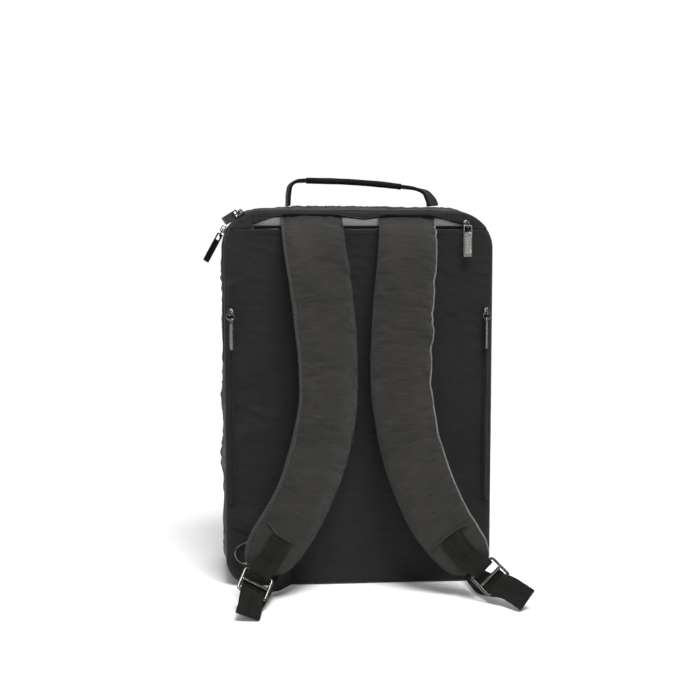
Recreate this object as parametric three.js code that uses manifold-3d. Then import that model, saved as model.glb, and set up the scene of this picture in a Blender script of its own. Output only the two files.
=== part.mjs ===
// A convertible backpack, upright on the floor, seen from its harness side at negative Y.
// Its flat base stands on Z = 0, and the origin is the middle of that base.
import * as THREE from 'three';
import Module from 'manifold-3d';
import { mergeVertices } from 'three/addons/utils/BufferGeometryUtils.js';

const wasm = await Module();
wasm.setup();

// The bag, in millimetres
const BODY_W = 292;
const BODY_H = 408;
const BODY_D = 130;
const TOP_R = 40;
const BASE_R = 30;
const SIDE_BULGE = 4;
const TOP_CROWN = 8;
const FRONT_PUFF = 9;
const PANEL_T = 4;
const PANEL_LEAST = 1.2;
const SEAM_FADE = 25;
const WALL_T = 2.2;
const LINING_T = 1.2;
const CLEAR = 0.3;

// The strap pocket's opening, under the top edge
const SLOT_SIDE = 33;
const SLOT_DROP = 18.4;
const LIP_DROP = 2.6;
const TAPE_T = 1.3;
const TAPE_W = 1.4;
const LOW_TAPE_W = 2;
const POCKET_GAP = 6.5;

// Zips and their metal
const RIM_W = 8.7;
const ZIP_W = 12.4;
const COIL_W = 2.8;
const COIL_RISE = 1.1;
const ZIP_END = 0.6;
const SIDE_ZIP_W = 7;
const SIDE_ZIP_L = 213;
const SIDE_ZIP_TOP = 305;
const SLIDER_L = 8.4;
const SLIDER_W = 6.6;
const SLIDER_T = 2.6;
const ARCH_T = 1.2;
const ARCH_HOLE = 2.6;
const RING_R = 4.2;
const RING_WIRE = 1.4;
const PULL_W = 9.4;
const PULL_L = 34;
const PULL_T = 1.5;
const PULL_FRAME = 1.4;
const PULL_WINDOW = 6;
const SIDE_PULL_TWIST = 0.3;
const CORNER_PULL_TWIST = 0.85;

// Straps, webbing and buckles
const STRAP_W = 67;
const STRAP_T = 12;
const MESH_SHARE = 0.7;
const WEBBING_W = 26;
const WEBBING_T = 1.8;
const TAB_W = 25;
const BUCKLE_W = 34;
const BUCKLE_L = 28;
const BUCKLE_T = 2;
const BUCKLE_BAR = 3.2;
const FOLD_R = 2.4;

// The ring at the lower left, and the handle
const D_RING_H = 27;
const D_RING_W = 20;
const D_RING_IN = 28;
const D_RING_WIRE = 2.3;
const D_RING_Z = 38;
const D_TAB_W = 15;
const D_TAB_REACH = 7.6;
const D_TAB_LIFT = 0.7;
const HANDLE_RISE = 29;
const HANDLE_T = 4.2;
const GRIP_T = 6.8;
const GRIP_W = 15;

const HALF_W = BODY_W / 2;
const SLOT_HALF = HALF_W - SLOT_SIDE;
const HALF_D = BODY_D / 2;
const PANEL_BACK = -HALF_D + PANEL_T;
const RIM_START = PANEL_BACK + CLEAR;
const RIM_END = RIM_START + RIM_W;
const FRONT_START = RIM_END + CLEAR + ZIP_W + CLEAR;
const FRONT_END = HALF_D - PANEL_T - CLEAR;
const SEAM_Z = BODY_H - SLOT_DROP;

const vec = (x, y, z) => new THREE.Vector3(x, y, z);
const unit = (x, y, z) => vec(x, y, z).normalize();
const square = (a, b) => a.clone().addScaledVector(b, -a.dot(b)).normalize();
const clamp = (value, low, high) => Math.min(high, Math.max(low, value));
const smooth = (value) => value * value * (3 - 2 * value);
const span = (count, low = 0, high = 1) =>
  Array.from({ length: count + 1 }, (_, i) => low + ((high - low) * i) / count);

// Value of one column of a table at a place along another column, eased between rows
function column(table, key, place, along) {
  if (place <= table[0][along]) return table[0][key];
  for (let i = 1; i < table.length; i += 1) {
    if (place <= table[i][along]) {
      const share = (place - table[i - 1][along]) / (table[i][along] - table[i - 1][along]);
      return table[i - 1][key] + (table[i][key] - table[i - 1][key]) * share;
    }
  }
  return table[table.length - 1][key];
}

// Dents and folds: each row is a soft bump at a place, with its reach along both ways
function relief(table, first, second) {
  let sum = 0;
  for (const row of table) {
    const a = (first - row.at) / row.reach;
    const b = (second - row.up) / row.rise;
    sum += row.depth * Math.exp(-(a * a + b * b));
  }
  return sum;
}

// A closed solid from vertices and triangles, turned so that its faces point outwards
function solid(points, faces) {
  let volume = 0;
  for (const [a, b, c] of faces) {
    volume += points[a].dot(points[b].clone().cross(points[c]));
  }
  const turned = volume < 0 ? faces.map(([a, b, c]) => [a, c, b]) : faces;
  const geometry = new THREE.BufferGeometry();
  const numbers = points.flatMap((p) => [p.x, p.y, p.z]);
  geometry.setAttribute('position', new THREE.Float32BufferAttribute(numbers, 3));
  geometry.setIndex(turned.flat());
  geometry.computeVertexNormals();
  return geometry;
}

// A layer between two surfaces over the same grid of u and v; u may close on itself
function layer(outer, inner, us, vs, ring = false) {
  const points = [];
  const faces = [];
  for (const surface of [outer, inner]) {
    for (const u of us) {
      for (const v of vs) points.push(surface(u, v));
    }
  }
  const nu = us.length;
  const nv = vs.length;
  const at = (side, i, j) => side * nu * nv + (i % nu) * nv + j;
  const quad = (a, b, c, d) => faces.push([a, b, c], [a, c, d]);
  const last = ring ? nu : nu - 1;
  for (let i = 0; i < last; i += 1) {
    for (let j = 0; j < nv - 1; j += 1) {
      quad(at(0, i, j), at(0, i + 1, j), at(0, i + 1, j + 1), at(0, i, j + 1));
      quad(at(1, i, j), at(1, i, j + 1), at(1, i + 1, j + 1), at(1, i + 1, j));
    }
    quad(at(0, i, 0), at(1, i, 0), at(1, i + 1, 0), at(0, i + 1, 0));
    quad(at(0, i, nv - 1), at(0, i + 1, nv - 1), at(1, i + 1, nv - 1), at(1, i, nv - 1));
  }
  if (!ring) {
    for (let j = 0; j < nv - 1; j += 1) {
      quad(at(0, 0, j), at(0, 0, j + 1), at(1, 0, j + 1), at(1, 0, j));
      quad(at(0, nu - 1, j), at(1, nu - 1, j), at(1, nu - 1, j + 1), at(0, nu - 1, j + 1));
    }
  }
  return solid(points, faces);
}

// A solid through a row of sections with equal numbers of points; the row may close on itself
function loft(sections, ring = false) {
  const n = sections[0].length;
  const points = sections.flat();
  const faces = [];
  const last = ring ? sections.length : sections.length - 1;
  for (let i = 0; i < last; i += 1) {
    const next = (i + 1) % sections.length;
    for (let j = 0; j < n; j += 1) {
      const k = (j + 1) % n;
      faces.push([i * n + j, next * n + j, next * n + k], [i * n + j, next * n + k, i * n + k]);
    }
  }
  if (!ring) {
    const end = (sections.length - 1) * n;
    for (let j = 1; j < n - 1; j += 1) {
      faces.push([0, j, j + 1], [end, end + j + 1, end + j]);
    }
  }
  return solid(points, faces);
}

// A flat band along stations that hold a point, a width direction and a facing
function ribbon(stations, width, thick) {
  return loft(
    stations.map(({ p, side, out }) =>
      [[-1, -1], [1, -1], [1, 1], [-1, 1]].map(([a, b]) =>
        p.clone().addScaledVector(side, (a * width) / 2).addScaledVector(out, (b * thick) / 2),
      ),
    ),
  );
}

// Stations along a smooth route: the width direction is given at each of its points
function route(rows, count) {
  const path = new THREE.CatmullRomCurve3(rows.map((row) => row.p), false, 'centripetal');
  const steps = rows.length - 1;
  return span(count).map((t) => {
    const i = Math.min(steps - 1, Math.floor(t * steps));
    const share = t * steps - i;
    const p = path.getPoint(t);
    const tangent = path.getTangent(t);
    const given = rows[i].side.clone().lerp(rows[i + 1].side, share);
    const side = given.addScaledVector(tangent, -given.dot(tangent)).normalize();
    return { p, tangent, side, out: side.clone().cross(tangent).normalize() };
  });
}

// Points of a half turn around a bar, in front of it first: along its plate, and out of it
const halfTurn = (radius) =>
  span(4, Math.PI / 2, -Math.PI / 2).map((a) => [radius * Math.cos(a), radius * Math.sin(a)]);

// A round wire along points on a closed flat loop whose plane has the given normal
function wireLoop(points, normal, radius, facets = 6) {
  const n = points.length;
  return loft(
    points.map((p, i) => {
      const tangent = points[(i + 1) % n].clone().sub(points[(i + n - 1) % n]).normalize();
      const across = tangent.cross(normal);
      return span(facets).slice(0, facets).map((t) => {
        const angle = 2 * Math.PI * t;
        return p.clone()
          .addScaledVector(across, radius * Math.cos(angle))
          .addScaledVector(normal, radius * Math.sin(angle));
      });
    }),
    true,
  );
}

// A shape with corners rounded by arcs, wide along X and tall along Y
function roundedShape(width, height, radius, cx = 0, cy = 0) {
  const shape = new THREE.Shape();
  const x = width / 2 - radius;
  const y = height / 2 - radius;
  shape.absarc(cx + x, cy + y, radius, 0, Math.PI / 2);
  shape.absarc(cx - x, cy + y, radius, Math.PI / 2, Math.PI);
  shape.absarc(cx - x, cy - y, radius, Math.PI, 1.5 * Math.PI);
  shape.absarc(cx + x, cy - y, radius, 1.5 * Math.PI, 2 * Math.PI);
  shape.closePath();
  return shape;
}

// A plate of even thickness around Z = 0
function plate(shape, thick, arcs = 2) {
  const options = { depth: thick, bevelEnabled: false, curveSegments: arcs };
  const geometry = new THREE.ExtrudeGeometry(shape, options);
  geometry.translate(0, 0, -thick / 2);
  return geometry;
}

// Joins overlapping closed geometries into one
function join(...geometries) {
  const [first, ...rest] = geometries.map((geometry) => {
    const bare = geometry.clone();
    bare.deleteAttribute('normal');
    bare.deleteAttribute('uv');
    const merged = mergeVertices(bare, 1e-4);
    const index = merged.index.array;
    const mesh = new wasm.Mesh({
      numProp: 3,
      vertProperties: new Float32Array(merged.attributes.position.array),
      triVerts: new Uint32Array(index),
    });
    return new wasm.Manifold(mesh);
  });
  const whole = rest.reduce((sum, part) => sum.add(part), first).getMesh();
  const geometry = new THREE.BufferGeometry();
  geometry.setAttribute('position', new THREE.BufferAttribute(new Float32Array(whole.vertProperties), 3));
  geometry.setIndex(Array.from(whole.triVerts));
  geometry.computeVertexNormals();
  return geometry;
}

const finish = (color, roughness, metalness = 0) =>
  new THREE.MeshStandardMaterial({ color, roughness, metalness });
const nylon = finish('#2b2c2e', 0.85);
const meshCloth = finish('#1d1d1f', 0.95);
const strapCloth = finish('#3a3a3b', 0.85);
const webbingCloth = finish('#343435', 0.7);
const tapeCloth = finish('#17181a', 0.8);
const liningCloth = finish('#ccd5cf', 0.8);
const gunmetal = finish('#8b8880', 0.3, 1);
const darkMetal = finish('#26262a', 0.35, 1);

const bag = new THREE.Group();
bag.name = 'convertible_backpack';

function add(name, geometry, material) {
  const mesh = new THREE.Mesh(geometry, material.clone());
  mesh.name = name;
  bag.add(mesh);
  return mesh;
}

// Half the width of the bag's rounded outline at a height, drawn in by an inset
function outlineHalf(z, inset = 0) {
  const half = HALF_W - inset;
  const low = BASE_R - inset;
  const high = TOP_R - inset;
  const under = clamp(inset + low - z, 0, low);
  const over = clamp(z - (BODY_H - inset - high), 0, high);
  if (under > 0) return half - low + Math.sqrt(low * low - under * under);
  return half - high + Math.sqrt(high * high - over * over);
}

// Height of the outline's top edge at a place across
function outlineTop(x, inset = 0) {
  const radius = TOP_R - inset;
  const beyond = clamp(Math.abs(x) - (HALF_W - TOP_R), 0, radius);
  return BODY_H - TOP_R + Math.sqrt(radius * radius - beyond * beyond);
}

// Heights for the rows of a sheet, close together around the corners
const rowHeights = (low, high, middle) => {
  const bottom = span(4).map((t) => low + (BASE_R - low) * t * t);
  const upper = BODY_H - TOP_R;
  const top = span(4).slice(1).map((t) => upper + (high - upper) * (1 - (1 - t) * (1 - t)));
  return [...bottom, ...span(middle, BASE_R, upper).slice(1), ...top];
};

// Dents and folds of the back panel: at is a share of half the width, up a share of the height,
// and depth a share of the panel's thickness
const panelRelief = [
  { at: -0.77, up: 0.5, reach: 0.16, rise: 0.07, depth: -1.25 },
  { at: -0.86, up: 0.41, reach: 0.12, rise: 0.03, depth: 0.5 },
  { at: -0.82, up: 0.17, reach: 0.12, rise: 0.03, depth: 0.62 },
  { at: 0.78, up: 0.33, reach: 0.15, rise: 0.08, depth: -0.75 },
  { at: 0, up: 0.55, reach: 0.35, rise: 0.3, depth: -0.75 },
  { at: 0.05, up: 0.08, reach: 0.5, rise: 0.05, depth: 0.5 },
];

// The back panel, padded, with its dents; its rim stays in the plane of the seam
{
  const zs = rowHeights(1, SEAM_Z, 14);
  const edge = 0.96;
  const dent = (s, z) => {
    const rim = smooth(clamp((edge - Math.abs(s)) / 0.12, 0, 1)) * smooth(clamp(z / SEAM_FADE, 0, 1));
    const below = smooth(clamp((SEAM_Z - z) / SEAM_FADE, 0, 1));
    return -relief(panelRelief, s, z / BODY_H) * PANEL_T * rim * below;
  };
  const face = (z, s) => vec(s * outlineHalf(z), -HALF_D + Math.min(dent(s, z), PANEL_T - PANEL_LEAST), z);
  const rear = (z, s) => vec(s * outlineHalf(z), PANEL_BACK, z);
  add('back_panel', layer(face, rear, zs, [-1, ...span(14, -edge, edge), 1]), nylon);
}

// The wave of the opening's upper lip: at is a share of half the slot, and drop, the way below
// the lip, a share of the opening's depth
const lipWave = [
  { at: -1, drop: 0.489 },
  { at: -0.94, drop: 0.326 },
  { at: -0.82, drop: 0.087 },
  { at: -0.66, drop: 0 },
  { at: -0.28, drop: 0.022 },
  { at: -0.12, drop: 0.087 },
  { at: 0.05, drop: 0.217 },
  { at: 0.22, drop: 0.054 },
  { at: 0.66, drop: 0.033 },
  { at: 0.78, drop: 0.141 },
  { at: 0.95, drop: 0.408 },
  { at: 1, drop: 0.489 },
];
const lipZ = (x) => BODY_H - LIP_DROP - SLOT_DROP * column(lipWave, 'drop', x / SLOT_HALF, 'at');

// The yoke: a narrow strip over the opening, and an end piece on each side of it
{
  const far = HALF_W - TOP_R + Math.sqrt(TOP_R ** 2 - (TOP_R - SLOT_DROP + 2) ** 2);
  const ends = [far, far - 6, (far + SLOT_HALF) / 2 + 3, SLOT_HALF + 2];
  const xs = [...ends.map((x) => -x), ...span(22, -SLOT_HALF, SLOT_HALF), ...[...ends].reverse()];
  const low = (x) => (Math.abs(x) > SLOT_HALF + 1 ? SEAM_Z + CLEAR : lipZ(x));
  const at = (y) => (x, t) => vec(x, y, low(x) + (outlineTop(x) - low(x)) * t);
  add('back_yoke', layer(at(-HALF_D), at(PANEL_BACK), xs, [0, 1]), nylon);
}

// The open zip: its upper half hangs from the wavy lip, its lower half stands on the panel
{
  const middle = (-HALF_D + PANEL_BACK) / 2;
  const end = SLOT_HALF - 2;
  const upper = (y) => (x, t) => vec(x, y, lipZ(x) - CLEAR - TAPE_W * t);
  const lower = (y) => (x, t) => vec(x, y, SEAM_Z + CLEAR + LOW_TAPE_W * t);
  const xs = span(22, -end, end);
  const front = middle - TAPE_T / 2;
  add('slot_tape_upper', layer(upper(front), upper(front + TAPE_T), xs, [0, 1]), tapeCloth);
  add('slot_tape_lower', layer(lower(front), lower(front + TAPE_T), span(8, -end, end), [0, 1]), tapeCloth);
}

// The pocket's lining, set inside the rim behind the back panel
{
  const inset = WALL_T + 2 * CLEAR;
  const y = PANEL_BACK + POCKET_GAP;
  const zs = rowHeights(inset, BODY_H - inset, 6);
  const at = (depth) => (z, s) => vec(s * outlineHalf(z, inset), depth, z);
  add('pocket_lining', layer(at(y), at(y + LINING_T), zs, span(6, -1, 1)), liningCloth);
}

// Stations around the bag's outline with outward directions, from the middle of the base
const outline = (() => {
  const corner = (cx, cz, radius, from, steps) =>
    span(steps).map((t) => {
      const angle = from + (t * Math.PI) / 2;
      const nx = Math.cos(angle);
      const nz = Math.sin(angle);
      return { x: cx + radius * nx, z: cz + radius * nz, nx, nz };
    });
  const low = HALF_W - BASE_R;
  const high = HALF_W - TOP_R;
  const sides = [0.17, 0.25, 0.32, 0.38, 0.44, 0.5, 0.55, ZIP_END - 0.015, ZIP_END, 0.72, 0.83];
  const right = sides.map((share) => ({ x: HALF_W, z: share * BODY_H, nx: 1, nz: 0 }));
  const half = [
    ...span(3, 0, low).slice(0, 3).map((x) => ({ x, z: 0, nx: 0, nz: -1 })),
    ...corner(low, BASE_R, BASE_R, -Math.PI / 2, 5),
    ...right,
    ...corner(high, BODY_H - TOP_R, TOP_R, 0, 8),
    ...span(4, high, 0).slice(1).map((x) => ({ x, z: BODY_H, nx: 0, nz: 1 })),
  ];
  const mirrored = half.slice(1, -1).reverse().map((s) => ({ ...s, x: -s.x, nx: -s.nx }));
  return [...half, ...mirrored];
})();

// Folds of the side wall: at is a share of the depth from front to back, up a share of the
// height, and depth a share of the sides' bulge
const sideFolds = [
  { at: -0.1, up: 0.5, reach: 0.35, rise: 0.035, depth: 0.55 },
  { at: 0.1, up: 0.42, reach: 0.3, rise: 0.03, depth: -0.65 },
  { at: -0.15, up: 0.33, reach: 0.3, rise: 0.035, depth: 0.6 },
  { at: 0.2, up: 0.24, reach: 0.3, rise: 0.03, depth: -0.6 },
  { at: 0, up: 0.15, reach: 0.3, rise: 0.03, depth: 0.37 },
  { at: 0.3, up: 0.68, reach: 0.25, rise: 0.05, depth: -0.5 },
];

// How far the band stands out from the outline at a depth: the sides bulge, the top is crowned
function swell(station, y) {
  const share = clamp((y - RIM_END) / (HALF_D - PANEL_T - RIM_END), 0, 1);
  const arch = Math.sin(Math.PI * share);
  const across = clamp(1 - Math.abs(station.x) / HALF_W, 0, 1);
  const top = Math.max(station.nz, 0) * TOP_CROWN * (0.35 + 0.65 * smooth(clamp(across * 2, 0, 1)));
  const side = Math.abs(station.nx) * SIDE_BULGE * (1 + relief(sideFolds, share - 0.5, station.z / BODY_H));
  return arch * (top + side);
}

const onBand = (station, y, rise) => {
  const reach = swell(station, y) + rise;
  return vec(station.x + station.nx * reach, y, station.z + station.nz * reach);
};

// The band's rim beside the back panel
add(
  'gusset_back',
  layer((s, y) => onBand(s, y, 0), (s, y) => onBand(s, y, -WALL_T), outline, [RIM_START, RIM_END], true),
  nylon,
);

// The band around the sides, top and base; it starts at the zip above, and at the rim below
{
  const start = (s) => (s.z > (ZIP_END - 0.01) * BODY_H ? FRONT_START : RIM_END + CLEAR);
  const depth = (s, t) => start(s) + (FRONT_END - start(s)) * t;
  const outer = (s, t) => onBand(s, depth(s, t), 0);
  const inner = (s, t) => onBand(s, depth(s, t), -WALL_T);
  add('gusset_front', layer(outer, inner, outline, span(6), true), nylon);
}

// The main zip over the top and down both sides, with its coil standing out along the middle
const zipStations = outline.filter((s) => s.z >= ZIP_END * BODY_H - 1e-6);
const zipStart = RIM_END + CLEAR;
const zipMiddle = zipStart + ZIP_W / 2;
{
  const ys = [
    [zipStart, 0],
    [zipMiddle - COIL_W / 2 - 0.4, 0],
    [zipMiddle - COIL_W / 2, COIL_RISE],
    [zipMiddle + COIL_W / 2, COIL_RISE],
    [zipMiddle + COIL_W / 2 + 0.4, 0],
    [zipStart + ZIP_W, 0],
  ];
  const outer = (s, [y, rise]) => onBand(s, y, rise);
  const inner = (s, [y]) => onBand(s, y, -TAPE_T);
  add('main_zip_tape', layer(outer, inner, zipStations, ys), tapeCloth);
}

// The far panel, softly padded and plain, over the band's other rim
{
  const zs = rowHeights(1, BODY_H - 0.5, 8);
  const puff = (z, s) => {
    const up = (2 * z) / BODY_H - 1;
    return FRONT_PUFF * (1 - s ** 4) * (1 - up ** 4);
  };
  const at = (y) => (z, s) => vec(s * outlineHalf(z), y + puff(z, s), z);
  const back = HALF_D - PANEL_T;
  add('front_panel', layer(at(back + WALL_T), at(back), zs, span(10, -1, 1)), nylon);
}

// Axes at a point from three directions, as a placement for a piece modelled around the origin
function place(mesh, across, along, out, origin) {
  const axes = [across, along, out].map((axis) => axis.clone().normalize());
  const matrix = new THREE.Matrix4().makeBasis(...axes);
  matrix.setPosition(origin);
  mesh.applyMatrix4(matrix);
  return mesh;
}

// A slider with its arch. X is the arch's bar, Z points out, and Z = 0 lies on the coil
function sliderGeometry() {
  const body = plate(roundedShape(SLIDER_L, SLIDER_W, 1.6), SLIDER_T);
  body.translate(0, 0, SLIDER_T / 2);
  const shape = new THREE.Shape();
  const half = SLIDER_L / 2 - 0.8;
  const top = ARCH_HOLE + ARCH_T;
  shape.moveTo(-half, -0.6);
  shape.lineTo(half, -0.6);
  shape.lineTo(half, top - 1);
  shape.lineTo(half - 1, top);
  shape.lineTo(1 - half, top);
  shape.lineTo(-half, top - 1);
  shape.closePath();
  const hole = new THREE.Path();
  hole.moveTo(ARCH_T - half, 0);
  hole.lineTo(ARCH_T - half, ARCH_HOLE);
  hole.lineTo(half - ARCH_T, ARCH_HOLE);
  hole.lineTo(half - ARCH_T, 0);
  hole.closePath();
  shape.holes.push(hole);
  const arch = plate(shape, 1.5);
  arch.rotateX(Math.PI / 2);
  arch.translate(0, 0, SLIDER_T);
  return join(body, arch);
}

// A pull: a plate that hangs along -Y from a bar at its top, with a window under the bar
function pullGeometry() {
  const shape = roundedShape(PULL_W, PULL_L, 1.2, 0, PULL_FRAME / 2 - PULL_L / 2);
  const inner = PULL_W - 2 * PULL_FRAME;
  const low = -PULL_FRAME / 2 - PULL_WINDOW;
  const hole = new THREE.Path();
  hole.moveTo(-inner / 2, low);
  hole.lineTo(-inner / 2, -PULL_FRAME / 2);
  hole.lineTo(inner / 2, -PULL_FRAME / 2);
  hole.lineTo(inner / 2, low);
  hole.closePath();
  shape.holes.push(hole);
  return plate(shape, PULL_T);
}

// A slider, its link ring and its pull. bar is the arch's direction, swing the way from the
// hole to the ring's middle, turn the ring's axis, hang the pull's way, twist turns the pull
// about that way, and shift moves it along its own bar
function zipMetal(name, { seat, out, bar, swing, turn, hang, twist = 0, shift = 0 }, pullMetal) {
  const hole = seat.clone().addScaledVector(out, SLIDER_T + ARCH_HOLE / 2);
  const side = out.clone().cross(bar);
  place(add(`${name}_slider`, sliderGeometry(), gunmetal), bar, side, out, seat);
  const ring = new THREE.TorusGeometry(RING_R, RING_WIRE / 2, 5, 12);
  const middle = hole.clone().addScaledVector(swing, RING_R);
  const axis = square(turn, swing);
  place(add(`${name}_ring`, ring, gunmetal), swing, axis.clone().cross(swing), axis, middle);
  const bearing = 2 * RING_R - RING_WIRE / 2 - CLEAR - PULL_FRAME / 2;
  const eye = hole.clone().addScaledVector(swing, bearing);
  const rise = hang.clone().negate();
  const across = square(turn, hang).applyAxisAngle(hang, twist);
  const spot = eye.addScaledVector(across, shift);
  place(add(`${name}_pull`, pullGeometry(), pullMetal), across, rise, across.clone().cross(rise), spot);
}

// The pocket's slider stands at the right end of its opening, and its pull hangs flat
{
  const out = vec(0, -1, 0);
  const down = vec(0, 0, -1);
  const rise = 1.12;
  const swing = down.clone().multiplyScalar(Math.cos(rise)).addScaledVector(out, Math.sin(rise));
  const seat = vec(SLOT_HALF + 3, -HALF_D - CLEAR, SEAM_Z + SLIDER_W);
  zipMetal('slot_zip', { seat, out, bar: vec(1, 0, 0), swing, turn: vec(1, 0, 0), hang: down }, darkMetal);
}

// The side zips lie on the panel along its edges, and their pulls hang edge on
const sideZipX = HALF_W - 4 - SIDE_ZIP_W / 2;
for (const [word, side] of [['left', -1], ['right', 1]]) {
  const x = side * sideZipX;
  const y = -HALF_D - CLEAR;
  const half = SIDE_ZIP_W / 2;
  const coil = COIL_W / 2;
  const profile = [
    [-half, 0], [half, 0], [half, -0.9], [coil + 0.3, -0.9], [coil, -0.9 - COIL_RISE],
    [-coil, -0.9 - COIL_RISE], [-coil - 0.3, -0.9], [-half, -0.9],
  ];
  const shape = new THREE.Shape(profile.map(([a, b]) => new THREE.Vector2(a, b)));
  const geometry = new THREE.ExtrudeGeometry(shape, { depth: SIDE_ZIP_L, bevelEnabled: false });
  const mesh = add(`side_zip_${word}`, geometry, tapeCloth);
  mesh.position.set(x, y, SIDE_ZIP_TOP - SIDE_ZIP_L);
  const out = vec(0, -1, 0);
  const down = vec(0, 0, -1);
  const seat = vec(x, y - 0.9 - COIL_RISE - CLEAR, SIDE_ZIP_TOP - SLIDER_L / 2);
  const twist = side * SIDE_PULL_TWIST;
  const lie = { seat, out, bar: down, swing: down, turn: out, hang: down, twist, shift: 1.8 };
  zipMetal(`side_zip_${word}`, lie, darkMetal);
}

// The two main sliders meet at the left top corner; angle is measured from the bag's left
function cornerMetal(name, angle, hang, turn, twist) {
  const n = vec(-Math.cos(angle), 0, Math.sin(angle));
  const station = {
    x: -(HALF_W - TOP_R) + TOP_R * n.x,
    z: BODY_H - TOP_R + TOP_R * n.z,
    nx: n.x,
    nz: n.z,
  };
  const seat = onBand(station, zipMiddle, COIL_RISE + CLEAR);
  const down = square(hang, n);
  zipMetal(name, { seat, out: n, bar: down, swing: down, turn, hang, twist }, darkMetal);
}
cornerMetal('main_zip_upper', 1.08, unit(-0.5, 0.8, -0.12), unit(-0.6, 0, 0.8), 0);
cornerMetal('main_zip_lower', 0.5, unit(-0.4, 0, -0.917), unit(-0.91, 0, 0.4), CORNER_PULL_TWIST);

// The shoulder straps, from the pocket down to their tips. up is a share of the height, side a
// share of half the width, off a share of the depth in front of the panel, wide a share of the
// strap's width, thick a share of its thickness, and turn the strap's twist in degrees
const strapTables = {
  left: [
    { up: 0.991, side: -0.35, off: -0.057, wide: 0.94, thick: 0.36, turn: 0 },
    { up: 0.981, side: -0.35, off: -0.03, wide: 0.95, thick: 0.36, turn: 0 },
    { up: 0.963, side: -0.348, off: 0.04, wide: 0.95, thick: 0.38, turn: 2 },
    { up: 0.934, side: -0.342, off: 0.085, wide: 0.96, thick: 0.75, turn: 7 },
    { up: 0.896, side: -0.332, off: 0.115, wide: 0.98, thick: 1, turn: 13 },
    { up: 0.83, side: -0.304, off: 0.14, wide: 1.02, thick: 1, turn: 19 },
    { up: 0.76, side: -0.283, off: 0.155, wide: 1.03, thick: 1, turn: 22 },
    { up: 0.69, side: -0.262, off: 0.175, wide: 1.04, thick: 1, turn: 24 },
    { up: 0.6, side: -0.247, off: 0.2, wide: 1.02, thick: 1, turn: 26 },
    { up: 0.5, side: -0.25, off: 0.235, wide: 1.02, thick: 1, turn: 27 },
    { up: 0.42, side: -0.288, off: 0.265, wide: 1.04, thick: 1, turn: 27 },
    { up: 0.345, side: -0.346, off: 0.3, wide: 1.03, thick: 1, turn: 27 },
    { up: 0.27, side: -0.425, off: 0.345, wide: 0.99, thick: 1, turn: 26 },
    { up: 0.2, side: -0.535, off: 0.395, wide: 0.96, thick: 1, turn: 23 },
    { up: 0.15, side: -0.632, off: 0.43, wide: 0.92, thick: 1, turn: 19 },
    { up: 0.118, side: -0.688, off: 0.448, wide: 0.81, thick: 0.9, turn: 16 },
    { up: 0.096, side: -0.722, off: 0.457, wide: 0.64, thick: 0.7, turn: 14 },
    { up: 0.086, side: -0.735, off: 0.46, wide: 0.48, thick: 0.5, turn: 14 },
  ],
  right: [
    { up: 0.987, side: 0.355, off: -0.057, wide: 0.9, thick: 0.36, turn: 0 },
    { up: 0.977, side: 0.355, off: -0.03, wide: 0.9, thick: 0.36, turn: 0 },
    { up: 0.96, side: 0.352, off: 0.04, wide: 0.91, thick: 0.38, turn: 0 },
    { up: 0.934, side: 0.348, off: 0.085, wide: 0.91, thick: 0.75, turn: 0 },
    { up: 0.896, side: 0.342, off: 0.115, wide: 0.92, thick: 1, turn: -2 },
    { up: 0.83, side: 0.329, off: 0.14, wide: 0.93, thick: 1, turn: -4 },
    { up: 0.76, side: 0.312, off: 0.155, wide: 0.94, thick: 1, turn: -6 },
    { up: 0.69, side: 0.305, off: 0.175, wide: 0.97, thick: 1, turn: -6 },
    { up: 0.6, side: 0.29, off: 0.2, wide: 0.95, thick: 1, turn: -6 },
    { up: 0.5, side: 0.3, off: 0.235, wide: 0.95, thick: 1, turn: -6 },
    { up: 0.42, side: 0.338, off: 0.265, wide: 0.95, thick: 1, turn: -6 },
    { up: 0.345, side: 0.39, off: 0.3, wide: 0.95, thick: 1, turn: -6 },
    { up: 0.27, side: 0.466, off: 0.345, wide: 0.94, thick: 1, turn: -8 },
    { up: 0.2, side: 0.56, off: 0.4, wide: 0.93, thick: 1, turn: -10 },
    { up: 0.15, side: 0.66, off: 0.43, wide: 0.88, thick: 1, turn: -12 },
    { up: 0.115, side: 0.74, off: 0.455, wide: 0.8, thick: 0.9, turn: -12 },
    { up: 0.093, side: 0.793, off: 0.468, wide: 0.62, thick: 0.7, turn: -12 },
    { up: 0.083, side: 0.815, off: 0.473, wide: 0.46, thick: 0.5, turn: -12 },
  ],
};

// Frames along a strap: its middle, its width direction, its facing and its section's size
function strapFrames(rows, count) {
  const points = rows.map((r) => vec(r.side * HALF_W, -HALF_D - r.off * BODY_D, r.up * BODY_H));
  const path = new THREE.CatmullRomCurve3(points, false, 'centripetal');
  const steps = rows.length - 1;
  return (t) => {
    const place01 = clamp(t, 0, 1) * steps;
    const i = Math.min(steps - 1, Math.floor(place01));
    const share = place01 - i;
    const mix = (key) => rows[i][key] + (rows[i + 1][key] - rows[i][key]) * share;
    const p = path.getPoint(clamp(t, 0, 1));
    const tangent = path.getTangent(clamp(t, 0, 1));
    const turn = (mix('turn') * Math.PI) / 180;
    const facing = vec(Math.sin(turn), -Math.cos(turn), 0);
    const side = facing.cross(tangent).normalize();
    if (side.x < 0) side.negate();
    const out = side.clone().cross(tangent).normalize();
    if (out.y > 0) out.negate();
    return { p, tangent, side, out, wide: mix('wide') * STRAP_W, thick: mix('thick') * STRAP_T };
  };
}

// Section corners across a strap's half: at is a share of half the width, rise of its depth
const padProfile = [[1, 0], [1, 0.5], [0.94, 0.86], [0.7, 1], [-0.7, 1], [-0.94, 0.86], [-1, 0.5], [-1, 0]];

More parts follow.
